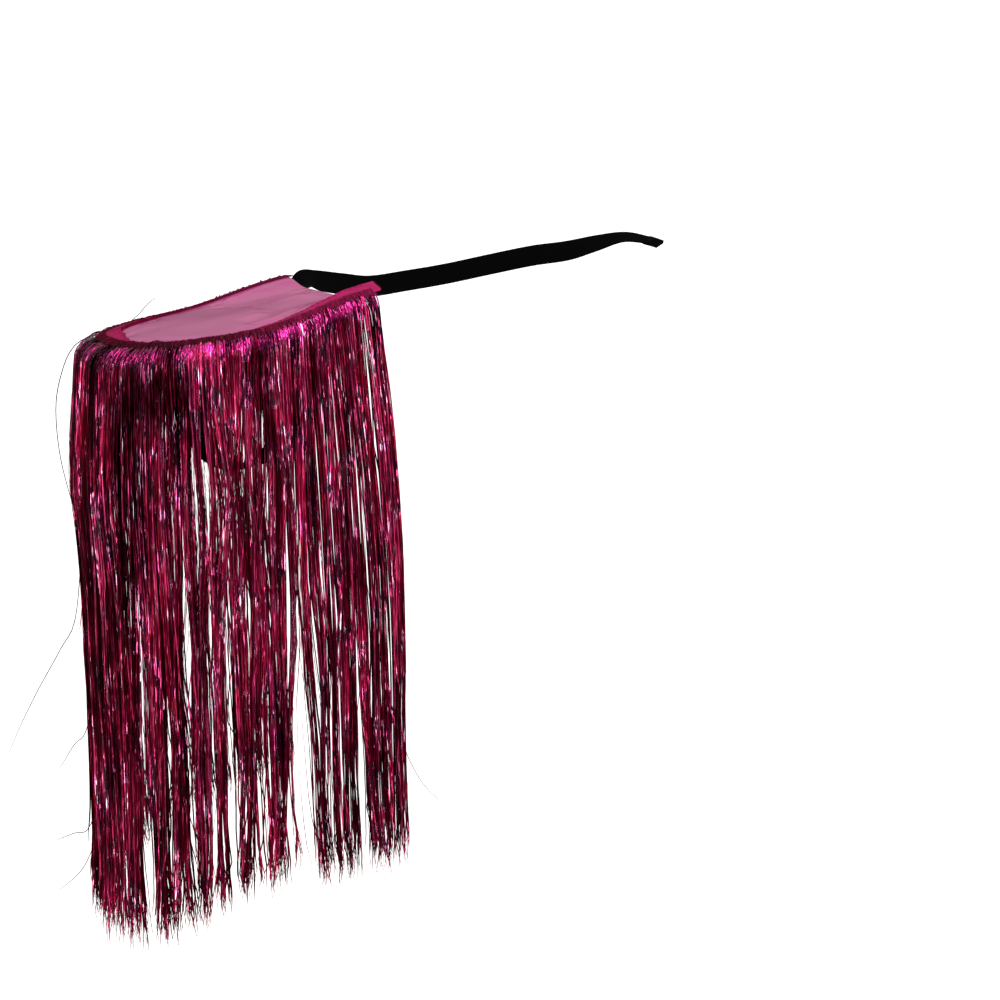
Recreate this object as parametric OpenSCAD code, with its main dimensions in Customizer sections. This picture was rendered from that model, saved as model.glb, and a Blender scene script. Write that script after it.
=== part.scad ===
// Costume shoulder pad: a D-shaped padded plate with a tape round its curved edge, a long
// tinsel fringe hung from that edge, an elastic strap for the neck and an elastic arm loop.
// Millimetres. +X points to the neck, -Y to the wearer's front and +Z up. The origin is the
// middle of the pad's underside, where it sits on the shoulder.

/* [Pad] */
// Length of the straight edge beside the neck
neck_edge = 147; // [120:1:170]
// Reach from the neck edge to the outer end
reach = 142; // [120:1:170]
// Squareness of the curved outline: 2 is an ellipse, 4 nearly square
squareness = 2.9; // [2.2:0.1:4]
// Thickness of the covered foam
pad_thick = 3; // [2:0.5:5]

/* [Lie on the shoulder] */
// How far the outer end lies below the neck edge
slope_drop = 20; // [10:1:40]
// How far the front and back edges lie below the middle, away from the neck
arch_drop = 2.5; // [0:0.5:12]
// How far the front edge is tipped up, and the back edge down
front_lift = 4; // [0:0.2:6]
// How far the front corner beside the neck curls up
front_curl = 7; // [0:0.5:9]
// How far the back corner beside the neck curls up
back_curl = 4.5; // [0:0.5:9]

/* [Edge tape] */
// Width of the woven tape where it lies wholly on top of the pad
tape_w = 13; // [8:0.5:18]
// Thickness of the woven tape
tape_thick = 1.1; // [0.8:0.1:2]
// Part of the tape's width that stands out past the pad's edge
tape_lip = 2.5; // [1:0.5:4]
// Length of the loose end of tape past the front corner
tape_tail = 5; // [2:1:12]
// Length of the loose end of tape past the back corner
tape_tail_back = 2; // [1:1:12]
// Height by which the tape's inner edge stands up at the front corner
tape_stand = 3.5; // [0:0.5:8]

/* [Fringe] */
// Drop of the fringe below the pad's edge
fringe_drop = 345; // [250:1:450]
// How far the strands stand out from the outer end before they turn down
roll_end = 17; // [12:1:26]
// How far they stand out from the front and back edges
roll_side = 11; // [8:1:20]
// Radius at which the strands turn down
bend_r = 8; // [5:1:8]
// Thickness of the fringe at its top
fringe_top = 2.2; // [1.5:0.1:2.4]
// Thickness of a lock half way down
lock_thick = 9; // [5:0.5:14]
// Outward flare of the fringe at its lower end
fringe_flare = 8; // [0:1:20]
// Depth below the edge at which the locks part, added to each lock's own depth
part_shift = 0; // [-20:1:40]
// Sideways drift towards the neck of the strands at the front corner, at their tips
corner_drift = 17; // [0:1:30]

/* [Elastic] */
// Width of the elastic of the neck strap and the arm loop
elastic_w = 15; // [10:1:20]
// Thickness of the elastic
elastic_thick = 1.4; // [1:0.1:2]

/* [Hidden] */

gap = 0.3;
half_edge = neck_edge / 2;
neck_x = reach / 2;
crown_z = pad_thick + slope_drop / 2;

// Soft dents in the pad: [x, y, radius, depth], a negative depth is a swelling
dents = [
    [-30, -28, 26, 0.5],
    [ 18, -34, 22, -0.4],
    [  6,  20, 30, 0.5],
    [ 46,   4, 24, -0.4],
    [-44,  26, 24, -0.5]
];
// Share of the way from the middle to the front and the back corner at which its curl starts
front_start = 0.15;
back_start = 0.55;
// Share of the reach at which the curls have died away, and at which the arch is full
curl_reach = 0.55;
arch_reach = 0.6;
// Past this share of the half edge the arch falls no further
arch_most = 1.15;

// Smooth step from 0 at a to 1 at b
function ease(a, b, v) = let (f = max(0, min(1, (v - a) / (b - a)))) f * f * (3 - 2 * f);
function mix(a, b, f) = a + (b - a) * f;
function unit(v) = v / norm(v);

// Height of the dents, of the curled corners and of the pad's whole top surface
function sum(list) = [for (v = list) 1] * list;
function dent_z(x, y) = -sum([for (d = dents)
    d[3] * pow(max(0, 1 - (pow(x - d[0], 2) + pow(y - d[1], 2)) / pow(d[2], 2)), 2)]);
function curl_z(x, y) =
    let (out = (neck_x - x) / reach, across = y / half_edge)
    (front_curl * ease(front_start, 1, -across) + back_curl * ease(back_start, 1, across))
    * (1 - ease(0, curl_reach, out));
function pad_z(x, y) =
    let (out = (neck_x - x) / reach, across = y / half_edge)
    crown_z - slope_drop * out
    - arch_drop * pow(min(abs(across), arch_most), 2) * ease(0, arch_reach, out)
    - front_lift * across + curl_z(x, y) + dent_z(x, y);

// The curved edge is a superellipse about the middle of the neck edge. Its angle runs from 0
// at the front corner to 180 at the back corner, and rim_at() goes round it by length.
function rim_radius(a) =
    pow(pow(abs(cos(a)) / half_edge, squareness) + pow(abs(sin(a)) / reach, squareness),
        -1 / squareness);
function rim_xy(a) = rim_radius(a) * [-sin(a), -cos(a)] + [neck_x, 0];
rim_steps = 180;
rim_fine = [for (i = [0 : rim_steps]) rim_xy(180 * i / rim_steps)];
rim_lengths = [for (i = 0, s = 0; i <= rim_steps;
    i = i + 1, s = s + (i <= rim_steps ? norm(rim_fine[i] - rim_fine[i - 1]) : 0)) s];
rim_length = rim_lengths[rim_steps];
rim_table = [for (i = [0 : rim_steps]) [rim_lengths[i], 180 * i / rim_steps]];
function rim_angle(s) = lookup(max(0, min(rim_length, s)), rim_table);
function rim_tangent(s) =
    unit(rim_xy(min(180, rim_angle(s) + 0.5)) - rim_xy(max(0, rim_angle(s) - 0.5)));
function rim_normal(s) = let (t = rim_tangent(s)) [-t[1], t[0]];
// Past either corner the edge runs straight on
function rim_at(s) =
    rim_xy(rim_angle(s)) + rim_tangent(s) * (s - max(0, min(rim_length, s)));

// Closed skin over a list of rings, each with the same number of points, and a fan at each end
function middle(ring) = sum(ring) / len(ring);
module skin(rings) {
    n = len(rings[0]);
    last = len(rings) - 1;
    count = n * len(rings);
    sides = [for (r = [0 : last - 1], i = [0 : n - 1])
        let (j = (i + 1) % n)
        each [[r * n + i, r * n + j, (r + 1) * n + j],
              [r * n + i, (r + 1) * n + j, (r + 1) * n + i]]];
    start = [for (i = [0 : n - 1]) [count, (i + 1) % n, i]];
    finish = [for (i = [0 : n - 1]) [count + 1, last * n + i, last * n + (i + 1) % n]];
    polyhedron(
        points = [for (r = rings) each r, middle(rings[0]), middle(rings[last])],
        faces = concat(sides, start, finish), convexity = 8);
}

// Pad: rings of the D outline, from the middle of the underside out, up and back to the middle
rim_points = 64;
edge_points = 14;
outline = concat(
    [for (i = [0 : rim_points]) rim_at(rim_length * i / rim_points)],
    [for (i = [1 : edge_points - 1]) [neck_x, mix(half_edge, -half_edge, i / edge_points)]]);
edge_round = 0.9;
// Each row is [share of the way from the middle to the edge, inset at the edge, share of thickness]
pad_rings = [
    [0.12, 0, 0], [0.4, 0, 0], [0.7, 0, 0], [0.9, 0, 0], [1, edge_round, 0], [1, 0, 0.25],
    [1, 0, 0.75], [1, edge_round, 1], [0.9, 0, 1], [0.7, 0, 1], [0.4, 0, 1], [0.12, 0, 1]
];
function pad_ring(row) = [for (p = outline)
    let (q = p * row[0] * (1 - row[1] / norm(p)))
    [q[0], q[1], pad_z(q[0], q[1]) - pad_thick * (1 - row[2])]];

module pad() {
    color("#b01a60") skin([for (row = pad_rings) pad_ring(row)]);
}

// Tape: its section lies on the pad just inside the edge and ends in a small lip outside it.
// Its inner edge stands up over this length of edge from the front corner, with this bend
// across its width, and its loose front end rises by this much a millimetre.
stand_reach = 55;
stand_bend = 1.4;
tail_rise = 0.22;
// Round the front and the back the tape is folded down over the edge, so less of it shows on
// top: [share of the edge's length, share of the tape's width]
tape_shares = [
    [0, 1], [0.08, 0.92], [0.14, 0.72], [0.2, 0.46], [0.26, 0.38], [0.41, 0.38], [0.46, 0.66],
    [0.51, 0.95], [0.56, 1], [0.62, 0.92], [0.68, 0.66], [0.75, 0.48], [0.85, 0.4], [1, 0.36]
];
function tape_width(s) = tape_w * lookup(s / rim_length, tape_shares);
tape_stations = 56;
tape_across = [0, 0.35, 0.7, 1];
function tape_point(s, f, up) =
    let (along = rim_at(s), out = rim_normal(s),
         stand = tape_stand * (1 - ease(0, stand_reach, s)) * pow(1 - f, stand_bend),
         tip = tail_rise * max(0, -s),
         p = along + out * (tape_lip - tape_width(s) * (1 - f)),
         held = [min(p[0], neck_x), p[1]])
    [p[0], p[1], pad_z(held[0], held[1]) + gap + stand + tip + up * tape_thick];
function tape_ring(s) = concat(
    [for (f = tape_across) tape_point(s, f, 1)],
    [for (i = [len(tape_across) - 1 : -1 : 0]) tape_point(s, tape_across[i], 0)]);

module edge_tape() {
    color("#91154e")
    skin([for (i = [0 : tape_stations])
        tape_ring(mix(-tape_tail, rim_length + tape_tail_back, i / tape_stations))]);
}

// Fringe: one curtain that leaves the edge level, turns down and parts into locks.
// roll() gives [outward, down, angle of the strands] at a length d along them.
function roll_out(s) = mix(roll_side, roll_end, pow(sin(180 * s / rim_length), 2));
function roll(s, d) =
    let (flat = roll_out(s) - bend_r, arc = bend_r * PI / 2)
    d < flat ? [d, 0, 0]
    : d < flat + arc ? let (a = 90 * (d - flat) / arc)
        [flat + bend_r * sin(a), bend_r * (1 - cos(a)), a]
    : let (f = (d - flat - arc) / fringe_drop)
        [roll_out(s) + fringe_flare * f, bend_r + d - flat - arc, 90];
// The drift fades out over this length of edge and is full at this share of the drop
drift_reach = 70;
drift_depth = 0.75;
roll_start = 0.6;
function corner_shift(s, d) =
    corner_drift * (1 - ease(0, drift_reach, s)) * sin(90 * min(1, d / (drift_depth * fringe_drop)));
function curtain_point(s0, d, thick, side) =
    let (s = s0 - corner_shift(s0, d), p = rim_at(s), n = rim_normal(s), w = roll(s, d),
         out = roll_start + w[0] + side * thick / 2 * sin(w[2]),
         lift = side * thick / 2 * cos(w[2]) - pad_thick / 2 - w[1])
    [p[0] + n[0] * out, p[1] + n[1] * out, pad_z(min(p[0], neck_x), p[1]) + lift];

// Locks, from the front corner round to the back corner: [start, end] is where a lock lies at
// its tips, in hundredths of the edge's length, then its length beyond fringe_drop, and how far
// along the strands the gap in front of it opens
locks = [
    [ 1.6,  5.2, 13, 130], [ 5.7,  7.6, 13, 150], [ 8.7, 11.8, 11, 200], [12.1, 14.6,  6, 175],
    [17.4, 19.1, -4, 140], [19.6, 21.4, -4, 130], [22.9, 25.5, -1,  98], [27.0, 28.9,  5,  84],
    [29.5, 31.9, 14,  70], [32.7, 34.9, 17,  70], [35.2, 37.3, 19, 125], [38.7, 41.0, 24, 100],
    [41.3, 43.7, 27, 135], [44.2, 47.0, 28,  80], [47.5, 50.4, 29, 125], [51.0, 53.8, 27,  95],
    [54.4, 57.2, 28, 130], [57.9, 60.6, 25,  90], [61.6, 64.4, 23, 115], [65.2, 67.9, 20,  85],
    [69.2, 71.6, 18, 110], [72.6, 75.4, 14,  80], [76.9, 79.3, 12, 100], [80.6, 83.4,  7,  85],
    [84.9, 87.2,  8, 110], [88.5, 91.2,  4,  90], [92.6, 95.0,  5, 105], [96.4, 99.0,  2, 120]
];
lock_count = len(locks);
columns = 2 * lock_count;
fringe_inset = 1.5;
// Thickness of the curtain at the bottom of a slit and at the ridge of a lock
slit_thick = 3.2;
ridge_thick = 6;
// Thickness of a lock's sides as a share of its ridge, and how far locks bow outward
lock_side = 0.45;
lock_bow = rands(-4, 6, lock_count, 37);

// Border b lies half way between lock b - 1 and lock b, and between two borders runs a ridge
function border_s(b) =
    b == 0 ? fringe_inset
    : b == lock_count ? rim_length - fringe_inset
    : rim_length * (locks[b - 1][1] + locks[b][0]) / 200;
function border_parts(b) = part_shift + locks[min(b, lock_count - 1)][3];
function column_s(c) = (border_s(floor(c / 2)) + border_s(ceil(c / 2))) / 2;
function parts_at(c) = (border_parts(floor(c / 2)) + border_parts(ceil(c / 2))) / 2;

// Rows of the curtain: the level part, the turn, and then down to where the locks part
turn_rows = 4;
down_rows = 3;
wall_rows = turn_rows + down_rows + 2;
function wall_d(c, row) =
    let (s = column_s(c), flat = roll_out(s) - bend_r, turn = flat + bend_r * PI / 2)
    row == 0 ? 0
    : row <= turn_rows + 1 ? mix(flat, turn, (row - 1) / turn_rows)
    : mix(turn, parts_at(c), (row - turn_rows - 1) / down_rows);
function wall_thick(c, row) = mix(
    fringe_top, c % 2 == 0 ? slit_thick : ridge_thick, ease(turn_rows - 1, wall_rows - 1, row));
function wall_row(row, side) = [for (c = [0 : columns])
    curtain_point(column_s(c), wall_d(c, row), wall_thick(c, row), side)];

// Each row is [share of the way down the lock, share of its width, share of the thickness]
lock_rows = [
    [0.1, 1, 0.8], [0.25, 1, 1], [0.42, 1, 1], [0.6, 1, 0.95],
    [0.78, 1, 0.8], [0.92, 0.94, 0.6], [1, 0.75, 0.35]
];
// Share of the way down a lock at which it has drawn in to its width at the tips
drawn_in = 0.7;
function lock_end(i) =
    let (s = column_s(2 * i + 1), rim = rim_at(s))
    fringe_drop + locks[i][2] + curl_z(rim[0], rim[1]) + roll_out(s) - bend_r;
function lock_ring(i, row) =
    let (f = row[0], centre = rim_length * (locks[i][0] + locks[i][1]) / 200,
         half = rim_length * (locks[i][1] - locks[i][0]) / 200 * row[1],
         bow = lock_bow[i] * sin(180 * f),
         thick = lock_thick * row[2])
    [for (e = [[-1, 1], [0, 1], [1, 1], [1, -1], [0, -1], [-1, -1]])
        let (c = 2 * i + 1 + e[0],
             s = mix(column_s(c), centre + e[0] * half, ease(0, drawn_in, f)),
             d = mix(parts_at(c), lock_end(i), f),
             out = bow + e[1] * thick / 2 * (e[0] == 0 ? 1 : lock_side))
        curtain_point(s, d, 0, 0) + concat(rim_normal(s) * out, 0)];

module fringe() {
    per_side = (columns + 1) * wall_rows;
    ring = 6;
    steps = len(lock_rows);
    first_lock = 2 * per_side;
    first_tip = first_lock + lock_count * steps * ring;
    function wall(side, row, c) = side * per_side + row * (columns + 1) + c;
    bottom = wall_rows - 1;
    function lock(i, row, k) = row < 0
        ? [wall(0, bottom, 2 * i), wall(0, bottom, 2 * i + 1), wall(0, bottom, 2 * i + 2),
           wall(1, bottom, 2 * i + 2), wall(1, bottom, 2 * i + 1), wall(1, bottom, 2 * i)][k]
        : first_lock + (i * steps + row) * ring + k;
    function quad(a, b, c, d) = [[a, c, b], [a, d, c]];
    points = concat(
        [for (row = [0 : bottom]) each wall_row(row, 1)],
        [for (row = [0 : bottom]) each wall_row(row, -1)],
        [for (i = [0 : lock_count - 1], row = lock_rows) each lock_ring(i, row)],
        [for (i = [0 : lock_count - 1]) middle(lock_ring(i, lock_rows[steps - 1]))]);
    outer = [for (row = [0 : bottom - 1], c = [0 : columns - 1])
        each quad(wall(0, row, c), wall(0, row, c + 1), wall(0, row + 1, c + 1), wall(0, row + 1, c))];
    inner = [for (row = [0 : bottom - 1], c = [0 : columns - 1])
        each quad(wall(1, row, c), wall(1, row + 1, c), wall(1, row + 1, c + 1), wall(1, row, c + 1))];
    top = [for (c = [0 : columns - 1])
        each quad(wall(0, 0, c), wall(1, 0, c), wall(1, 0, c + 1), wall(0, 0, c + 1))];
    ends = [for (row = [0 : bottom - 1])
        each concat(
            quad(wall(0, row, 0), wall(0, row + 1, 0), wall(1, row + 1, 0), wall(1, row, 0)),
            quad(wall(0, row, columns), wall(1, row, columns),
                 wall(1, row + 1, columns), wall(0, row + 1, columns)))];
    locks = [for (i = [0 : lock_count - 1], row = [-1 : steps - 2], k = [0 : ring - 1])
        let (m = (k + 1) % ring)
        each quad(lock(i, row, k), lock(i, row, m), lock(i, row + 1, m), lock(i, row + 1, k))];
    tips = [for (i = [0 : lock_count - 1], k = [0 : ring - 1])
        [first_tip + i, lock(i, steps - 1, (k + 1) % ring), lock(i, steps - 1, k)]];
    color("#7a1038")
    polyhedron(points = points, faces = concat(outer, inner, top, ends, locks, tips),
               convexity = 20);
}

// Elastic: a flat band along a route of rows [x, y, z, lean], where z is the height of the
// band's middle and lean its tilt about the route: 0 is flat and -90 on edge, with the side
// that was nearer the front below
band_steps = 4;
function knot(a, b, c, d, f) =
    0.5 * (2 * b + (c - a) * f + (2 * a - 5 * b + 4 * c - d) * f * f
    + (3 * b - a - 3 * c + d) * f * f * f);
function route(rows) = let (n = len(rows) - 1) [
    for (i = [0 : n - 1], k = [0 : band_steps - 1])
        knot(rows[max(0, i - 1)], rows[i], rows[i + 1], rows[min(n, i + 2)], k / band_steps),
    rows[n]];
function place(row) = [row[0], row[1], row[2]];
function band_ring(path, i, side) =
    let (n = len(path) - 1,
         along = unit(place(path[min(n, i + 1)]) - place(path[max(0, i - 1)])),
         level = side == undef ? unit(cross(along, [0, 0, 1])) : unit(side - (side * along) * along),
         up = cross(level, along),
         a = path[i][3],
         wide = (level * cos(a) + up * sin(a)) * elastic_w / 2,
         deep = (up * cos(a) - level * sin(a)) * elastic_thick / 2,
         p = place(path[i]))
    [p - wide - deep, p + wide - deep, p + wide + deep, p - wide + deep];
// A band whose width keeps to one direction is given that direction as its side
module band(rows, side) {
    path = route(rows);
    skin([for (i = [0 : len(path) - 1]) band_ring(path, i, side)]);
}

// Height of the middle of a band sewn under the pad: it clears the lowest place that it covers
seat_drop = pad_thick + gap + elastic_thick / 2;
seat_reach = elastic_w / 2 + 0.5;
function seat_z(x, y) = min([for (dx = [-seat_reach, 0, seat_reach], dy = [-4, 0, 4])
    pad_z(x + dx, y + dy) - dx * slope_drop / reach]) - seat_drop;

strap_rows = [
    [ 47,  53, seat_z(47, 53), 1],
    [ 59,  58, seat_z(59, 58), 0],
    [ 69,  63, seat_z(66, 63) - 0.6, 0],
    [ 76,  67, 8.3, -8],
    [ 84,  73, 11.2, -45],
    [ 97,  83,  7.6, -66],
    [120,  96,  2, -78],
    [146, 112, -3.5, -88],
    [180, 127, -4, -90],
    [215, 133, -2, -90],
    [250, 131,  3, -86],
    [280, 123,  8.4, -78],
    [303, 112, 12, -65],
    [320,  99, 18, -44],
    [335,  86, 23.2, -22],
    [346,  75, 22.5, -10],
    [355,  65, 19.5, -6]
];
loop_rows = [
    [ 13, -44, seat_z(13, -44), 0],
    [ 13, -50, seat_z(13, -50), 0],
    [ 13, -56, seat_z(13, -56) - 0.4, 0],
    [ 13, -62,  -3, 0],
    [ 13, -66, -14, 0],
    [ 14, -67, -36, 0],
    [ 13, -60, -64, 0],
    [  9, -37, -84, 0],
    [  4,   2, -94, 0],
    [ -1,  36, -92, 0],
    [ -4,  59, -75, 0],
    [ -6,  67, -46, 0],
    [ -6,  66, -24, 0],
    [ -6,  62, -12, 0],
    [ -6,  56, seat_z(-6, 56) - 0.4, 0],
    [ -6,  50, seat_z(-6, 50), 0],
    [ -6,  44, seat_z(-6, 44), 0]
];

module neck_strap() {
    color("#141416") band(strap_rows);
}

module arm_loop() {
    color("#141416") band(loop_rows, [reach, 0, slope_drop]);
}

pad();
edge_tape();
fringe();
neck_strap();
arm_loop();
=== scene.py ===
# %% [markdown]
# A costume shoulder pad: a D-shaped foam plate covered in glossy vinyl, edged with woven tape,
# with a long tinsel fringe hanging from the curved edge and two black elastics, one for the
# neck and one for the arm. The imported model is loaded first. Every piece below is made in its
# frame: metres, +X to the neck, -Y to the wearer's front, +Z up.
# %% Load the frame
import math

import bpy
import numpy as np
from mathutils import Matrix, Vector


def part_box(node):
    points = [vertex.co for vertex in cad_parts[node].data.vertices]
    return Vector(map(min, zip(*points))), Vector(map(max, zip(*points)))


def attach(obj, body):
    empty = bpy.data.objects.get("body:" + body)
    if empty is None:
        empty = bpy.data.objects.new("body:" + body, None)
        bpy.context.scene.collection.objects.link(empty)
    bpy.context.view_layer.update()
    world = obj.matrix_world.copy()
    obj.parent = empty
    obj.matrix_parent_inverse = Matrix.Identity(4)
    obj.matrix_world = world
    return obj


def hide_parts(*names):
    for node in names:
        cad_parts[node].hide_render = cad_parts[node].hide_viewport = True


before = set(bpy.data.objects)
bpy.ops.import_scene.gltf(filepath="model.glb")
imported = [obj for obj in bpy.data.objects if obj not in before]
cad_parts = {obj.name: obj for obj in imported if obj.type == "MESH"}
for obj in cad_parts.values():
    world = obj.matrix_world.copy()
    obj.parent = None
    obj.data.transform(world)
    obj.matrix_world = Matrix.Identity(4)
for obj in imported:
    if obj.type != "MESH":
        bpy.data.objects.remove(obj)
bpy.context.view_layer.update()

scene = bpy.context.scene
print("frame holds", sorted(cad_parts))

# %% [markdown]
# The lengths below are in millimetres, as a tailor would note them, and MM turns them into
# Blender's metres. Two helpers are used throughout: one turns an sRGB hex colour into the
# linear values that shaders want, the other adds a node to any tree with its settings, its
# inputs, where an input is a plain value or the socket that feeds it, and, for a colour ramp,
# its stops.
# %% Two helpers
MM = 0.001


def linear(hex_colour):
    """Linear RGBA of an sRGB colour written as #rrggbb."""
    shares = [int(hex_colour[i:i + 2], 16) / 255 for i in (1, 3, 5)]
    low, high = 0.04045, 2.4
    return tuple(c / 12.92 if c <= low else ((c + 0.055) / 1.055) ** high for c in shares) + (1.0,)


def add(tree, kind, inputs=None, stops=(), **settings):
    """Add a node with its properties, its inputs' values or feeding sockets, and a ramp's stops."""
    node = tree.nodes.new(kind)
    for name, value in settings.items():
        setattr(node, name, value)
    for name, value in (inputs or {}).items():
        if isinstance(value, bpy.types.NodeSocket):
            tree.links.new(value, node.inputs[name])
        else:
            node.inputs[name].default_value = value
    elements = node.color_ramp.elements if stops else ()
    while len(elements) < len(stops):
        elements.new(0.5)
    for element, (place, colour) in zip(elements, stops):
        element.position = place
        element.color = linear(colour)
    return node


# %% [markdown]
# The camera comes first. It stands in front of the pad, turned 26 degrees and looking 15
# degrees down, with a 72 mm lens, so the pad's top shows as a narrow slice above the fringe.
# %% Camera
CAMERA_PLACE = (-386.97, -1190.39, 216.32)
CAMERA_TURN = math.radians(-26)
CAMERA_PITCH = math.radians(15)

camera_data = bpy.data.cameras.new("camera")
camera_data.lens = 72
camera_data.sensor_width = 36
camera = bpy.data.objects.new("camera", camera_data)
camera.location = [c * MM for c in CAMERA_PLACE]
looking = Vector((
    -math.sin(CAMERA_TURN) * math.cos(CAMERA_PITCH),
    math.cos(CAMERA_TURN) * math.cos(CAMERA_PITCH),
    -math.sin(CAMERA_PITCH)))
camera.rotation_euler = looking.to_track_quat("-Z", "Y").to_euler()
scene.collection.objects.link(camera)
scene.camera = camera
print("camera stands", round(camera.location.length, 3), "m from the pad")

# %% [markdown]
# The pad lies on the shoulder, so its top is a sloping, slightly arched surface with curled
# corners beside the neck and a few soft dents. One function gives its height anywhere, and
# the tape, the fringe and the dents all follow that one surface.
# %% The pad's surface
pad_low, pad_high = [np.array(corner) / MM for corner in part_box("pad")]
NECK_X = pad_high[0]
REACH = pad_high[0] - pad_low[0]
HALF_EDGE = pad_high[1]
PAD_THICK = 3.0
SLOPE_DROP = 20.0
ARCH_DROP = 2.5
FRONT_LIFT = 4.0
FRONT_CURL = 7.0
BACK_CURL = 4.5
FRONT_START = 0.15
BACK_START = 0.55
CURL_REACH = 0.55
ARCH_REACH = 0.6
ARCH_MOST = 1.15
DENTS = (  # x, y, radius, depth
    (-30, -28, 26, 0.5),
    (18, -34, 22, -0.4),
    (6, 20, 30, 0.5),
    (46, 4, 24, -0.4),
    (-44, 26, 24, -0.5),
)


def ease(start, end, value):
    """Smooth step from 0 at start to 1 at end."""
    f = np.clip((value - start) / (end - start), 0, 1)
    return f * f * (3 - 2 * f)


def curl_z(x, y):
    """Height of the two curled corners beside the neck."""
    out, across = (NECK_X - x) / REACH, y / HALF_EDGE
    corners = FRONT_CURL * ease(FRONT_START, 1, -across) + BACK_CURL * ease(BACK_START, 1, across)
    return corners * (1 - ease(0, CURL_REACH, out))


def pad_z(x, y):
    """Height of the pad's top."""
    out, across = (NECK_X - x) / REACH, y / HALF_EDGE
    height = PAD_THICK + SLOPE_DROP / 2 - SLOPE_DROP * out - FRONT_LIFT * across + curl_z(x, y)
    height = height - ARCH_DROP * np.minimum(np.abs(across), ARCH_MOST) ** 2 * ease(0, ARCH_REACH, out)
    for dent_x, dent_y, radius, depth in DENTS:
        near = 1 - ((x - dent_x) ** 2 + (y - dent_y) ** 2) / radius ** 2
        height = height - depth * np.maximum(0, near) ** 2
    return height


top_x, top_y, top_z = (np.array([v.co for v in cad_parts["pad"].data.vertices]) / MM).T
print("pad's top is at most", round(float(np.max(top_z - pad_z(top_x, top_y))), 2), "mm off")

# %% [markdown]
# The curved edge is a superellipse: rounder than a rectangle, squarer than an ellipse. It is
# measured by length s from the front corner round to the back corner, because tape, stitches
# and strands are all spaced by length along it.
# %% The curved edge by length
SQUARENESS = 2.9

edge_angle = np.linspace(0, np.pi, 1441)
edge_radius = ((np.abs(np.cos(edge_angle)) / HALF_EDGE) ** SQUARENESS
               + (np.abs(np.sin(edge_angle)) / REACH) ** SQUARENESS) ** (-1 / SQUARENESS)
edge_x = NECK_X - edge_radius * np.sin(edge_angle)
edge_y = -edge_radius * np.cos(edge_angle)
edge_s = np.concatenate([[0], np.cumsum(np.hypot(np.diff(edge_x), np.diff(edge_y)))])
EDGE_LENGTH = edge_s[-1]


def edge_at(s):
    """Place on the curved edge, its direction and its outward normal, running on past the ends."""
    inside = np.clip(s, 0, EDGE_LENGTH)
    place = np.stack([np.interp(inside, edge_s, edge_x), np.interp(inside, edge_s, edge_y)], -1)
    step = 1.0
    ahead, behind = np.minimum(inside + step, EDGE_LENGTH), np.maximum(inside - step, 0)
    along = np.stack([np.interp(ahead, edge_s, edge_x) - np.interp(behind, edge_s, edge_x),
                      np.interp(ahead, edge_s, edge_y) - np.interp(behind, edge_s, edge_y)], -1)
    along /= np.linalg.norm(along, axis=-1, keepdims=True)
    outward = np.stack([-along[..., 1], along[..., 0]], -1)
    return place + along * (s - inside)[..., None], along, outward


def pad_z_held(x, y):
    """Height of the pad's top, kept level past the neck edge."""
    return pad_z(np.minimum(x, NECK_X), y)


print("curved edge is", round(float(EDGE_LENGTH), 1), "mm long")


# %% [markdown]
# Most surfaces here are grids of rows and columns of points. One function makes a mesh from
# such a grid, another closes two grids into a thin sheet with walls round its border.
# %% Meshes from grids of points
def new_object(name, mesh):
    """Put a mesh into the scene as an object at the origin."""
    thing = bpy.data.objects.new(name, mesh)
    scene.collection.objects.link(thing)
    return thing


def mesh_from(name, points, faces, edges=()):
    """Mesh of points in millimetres."""
    mesh = bpy.data.meshes.new(name)
    mesh.from_pydata((np.asarray(points).reshape(-1, 3) * MM).tolist(), list(edges), faces)
    mesh.update()
    return mesh


def grid_faces(rows, columns, first=0, turned=False):
    """Quads of a grid of points that are numbered row by row from first."""
    faces = []
    for r in range(rows - 1):
        for c in range(columns - 1):
            a = first + r * columns + c
            quad = (a, a + 1, a + columns + 1, a + columns)
            faces.append(quad[::-1] if turned else quad)
    return faces


def border(rows, columns):
    """Numbers of the points round a grid's border, in order."""
    last = (rows - 1) * columns
    return ([c for c in range(columns)]
            + [r * columns + columns - 1 for r in range(1, rows)]
            + [last + c for c in range(columns - 2, -1, -1)]
            + [r * columns for r in range(rows - 2, 0, -1)])


def closed_sheet(name, upper, lower):
    """Closed mesh between an upper and a lower grid of points of the same size."""
    rows, columns = upper.shape[:2]
    count = rows * columns
    faces = grid_faces(rows, columns) + grid_faces(rows, columns, count, turned=True)
    ring = border(rows, columns)
    for a, b in zip(ring, ring[1:] + ring[:1]):
        faces.append((b, a, a + count, b + count))
    points = np.concatenate([upper.reshape(-1, 3), lower.reshape(-1, 3)])
    return mesh_from(name, points, faces)


def shade_sheet(mesh):
    """Smooth shading, with the borders of the sheet kept crisp."""
    mesh.shade_smooth()
    mesh.set_sharp_from_angle(angle=math.radians(50))


def name_corners(mesh, values):
    """Give the mesh a UV map from one pair of values for each point."""
    layer = mesh.uv_layers.new(name="UVMap")
    corner = np.array([loop.vertex_index for loop in mesh.loops])
    layer.data.foreach_set("uv", np.asarray(values, np.float32).reshape(-1, 2)[corner].ravel())


def number_points(mesh, columns):
    """Give the mesh's points the named columns of numbers, which node trees can read."""
    for column, values in columns.items():
        layer = mesh.attributes.new(column, "FLOAT", "POINT")
        layer.data.foreach_set("value", np.asarray(values, np.float32).ravel())


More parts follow.
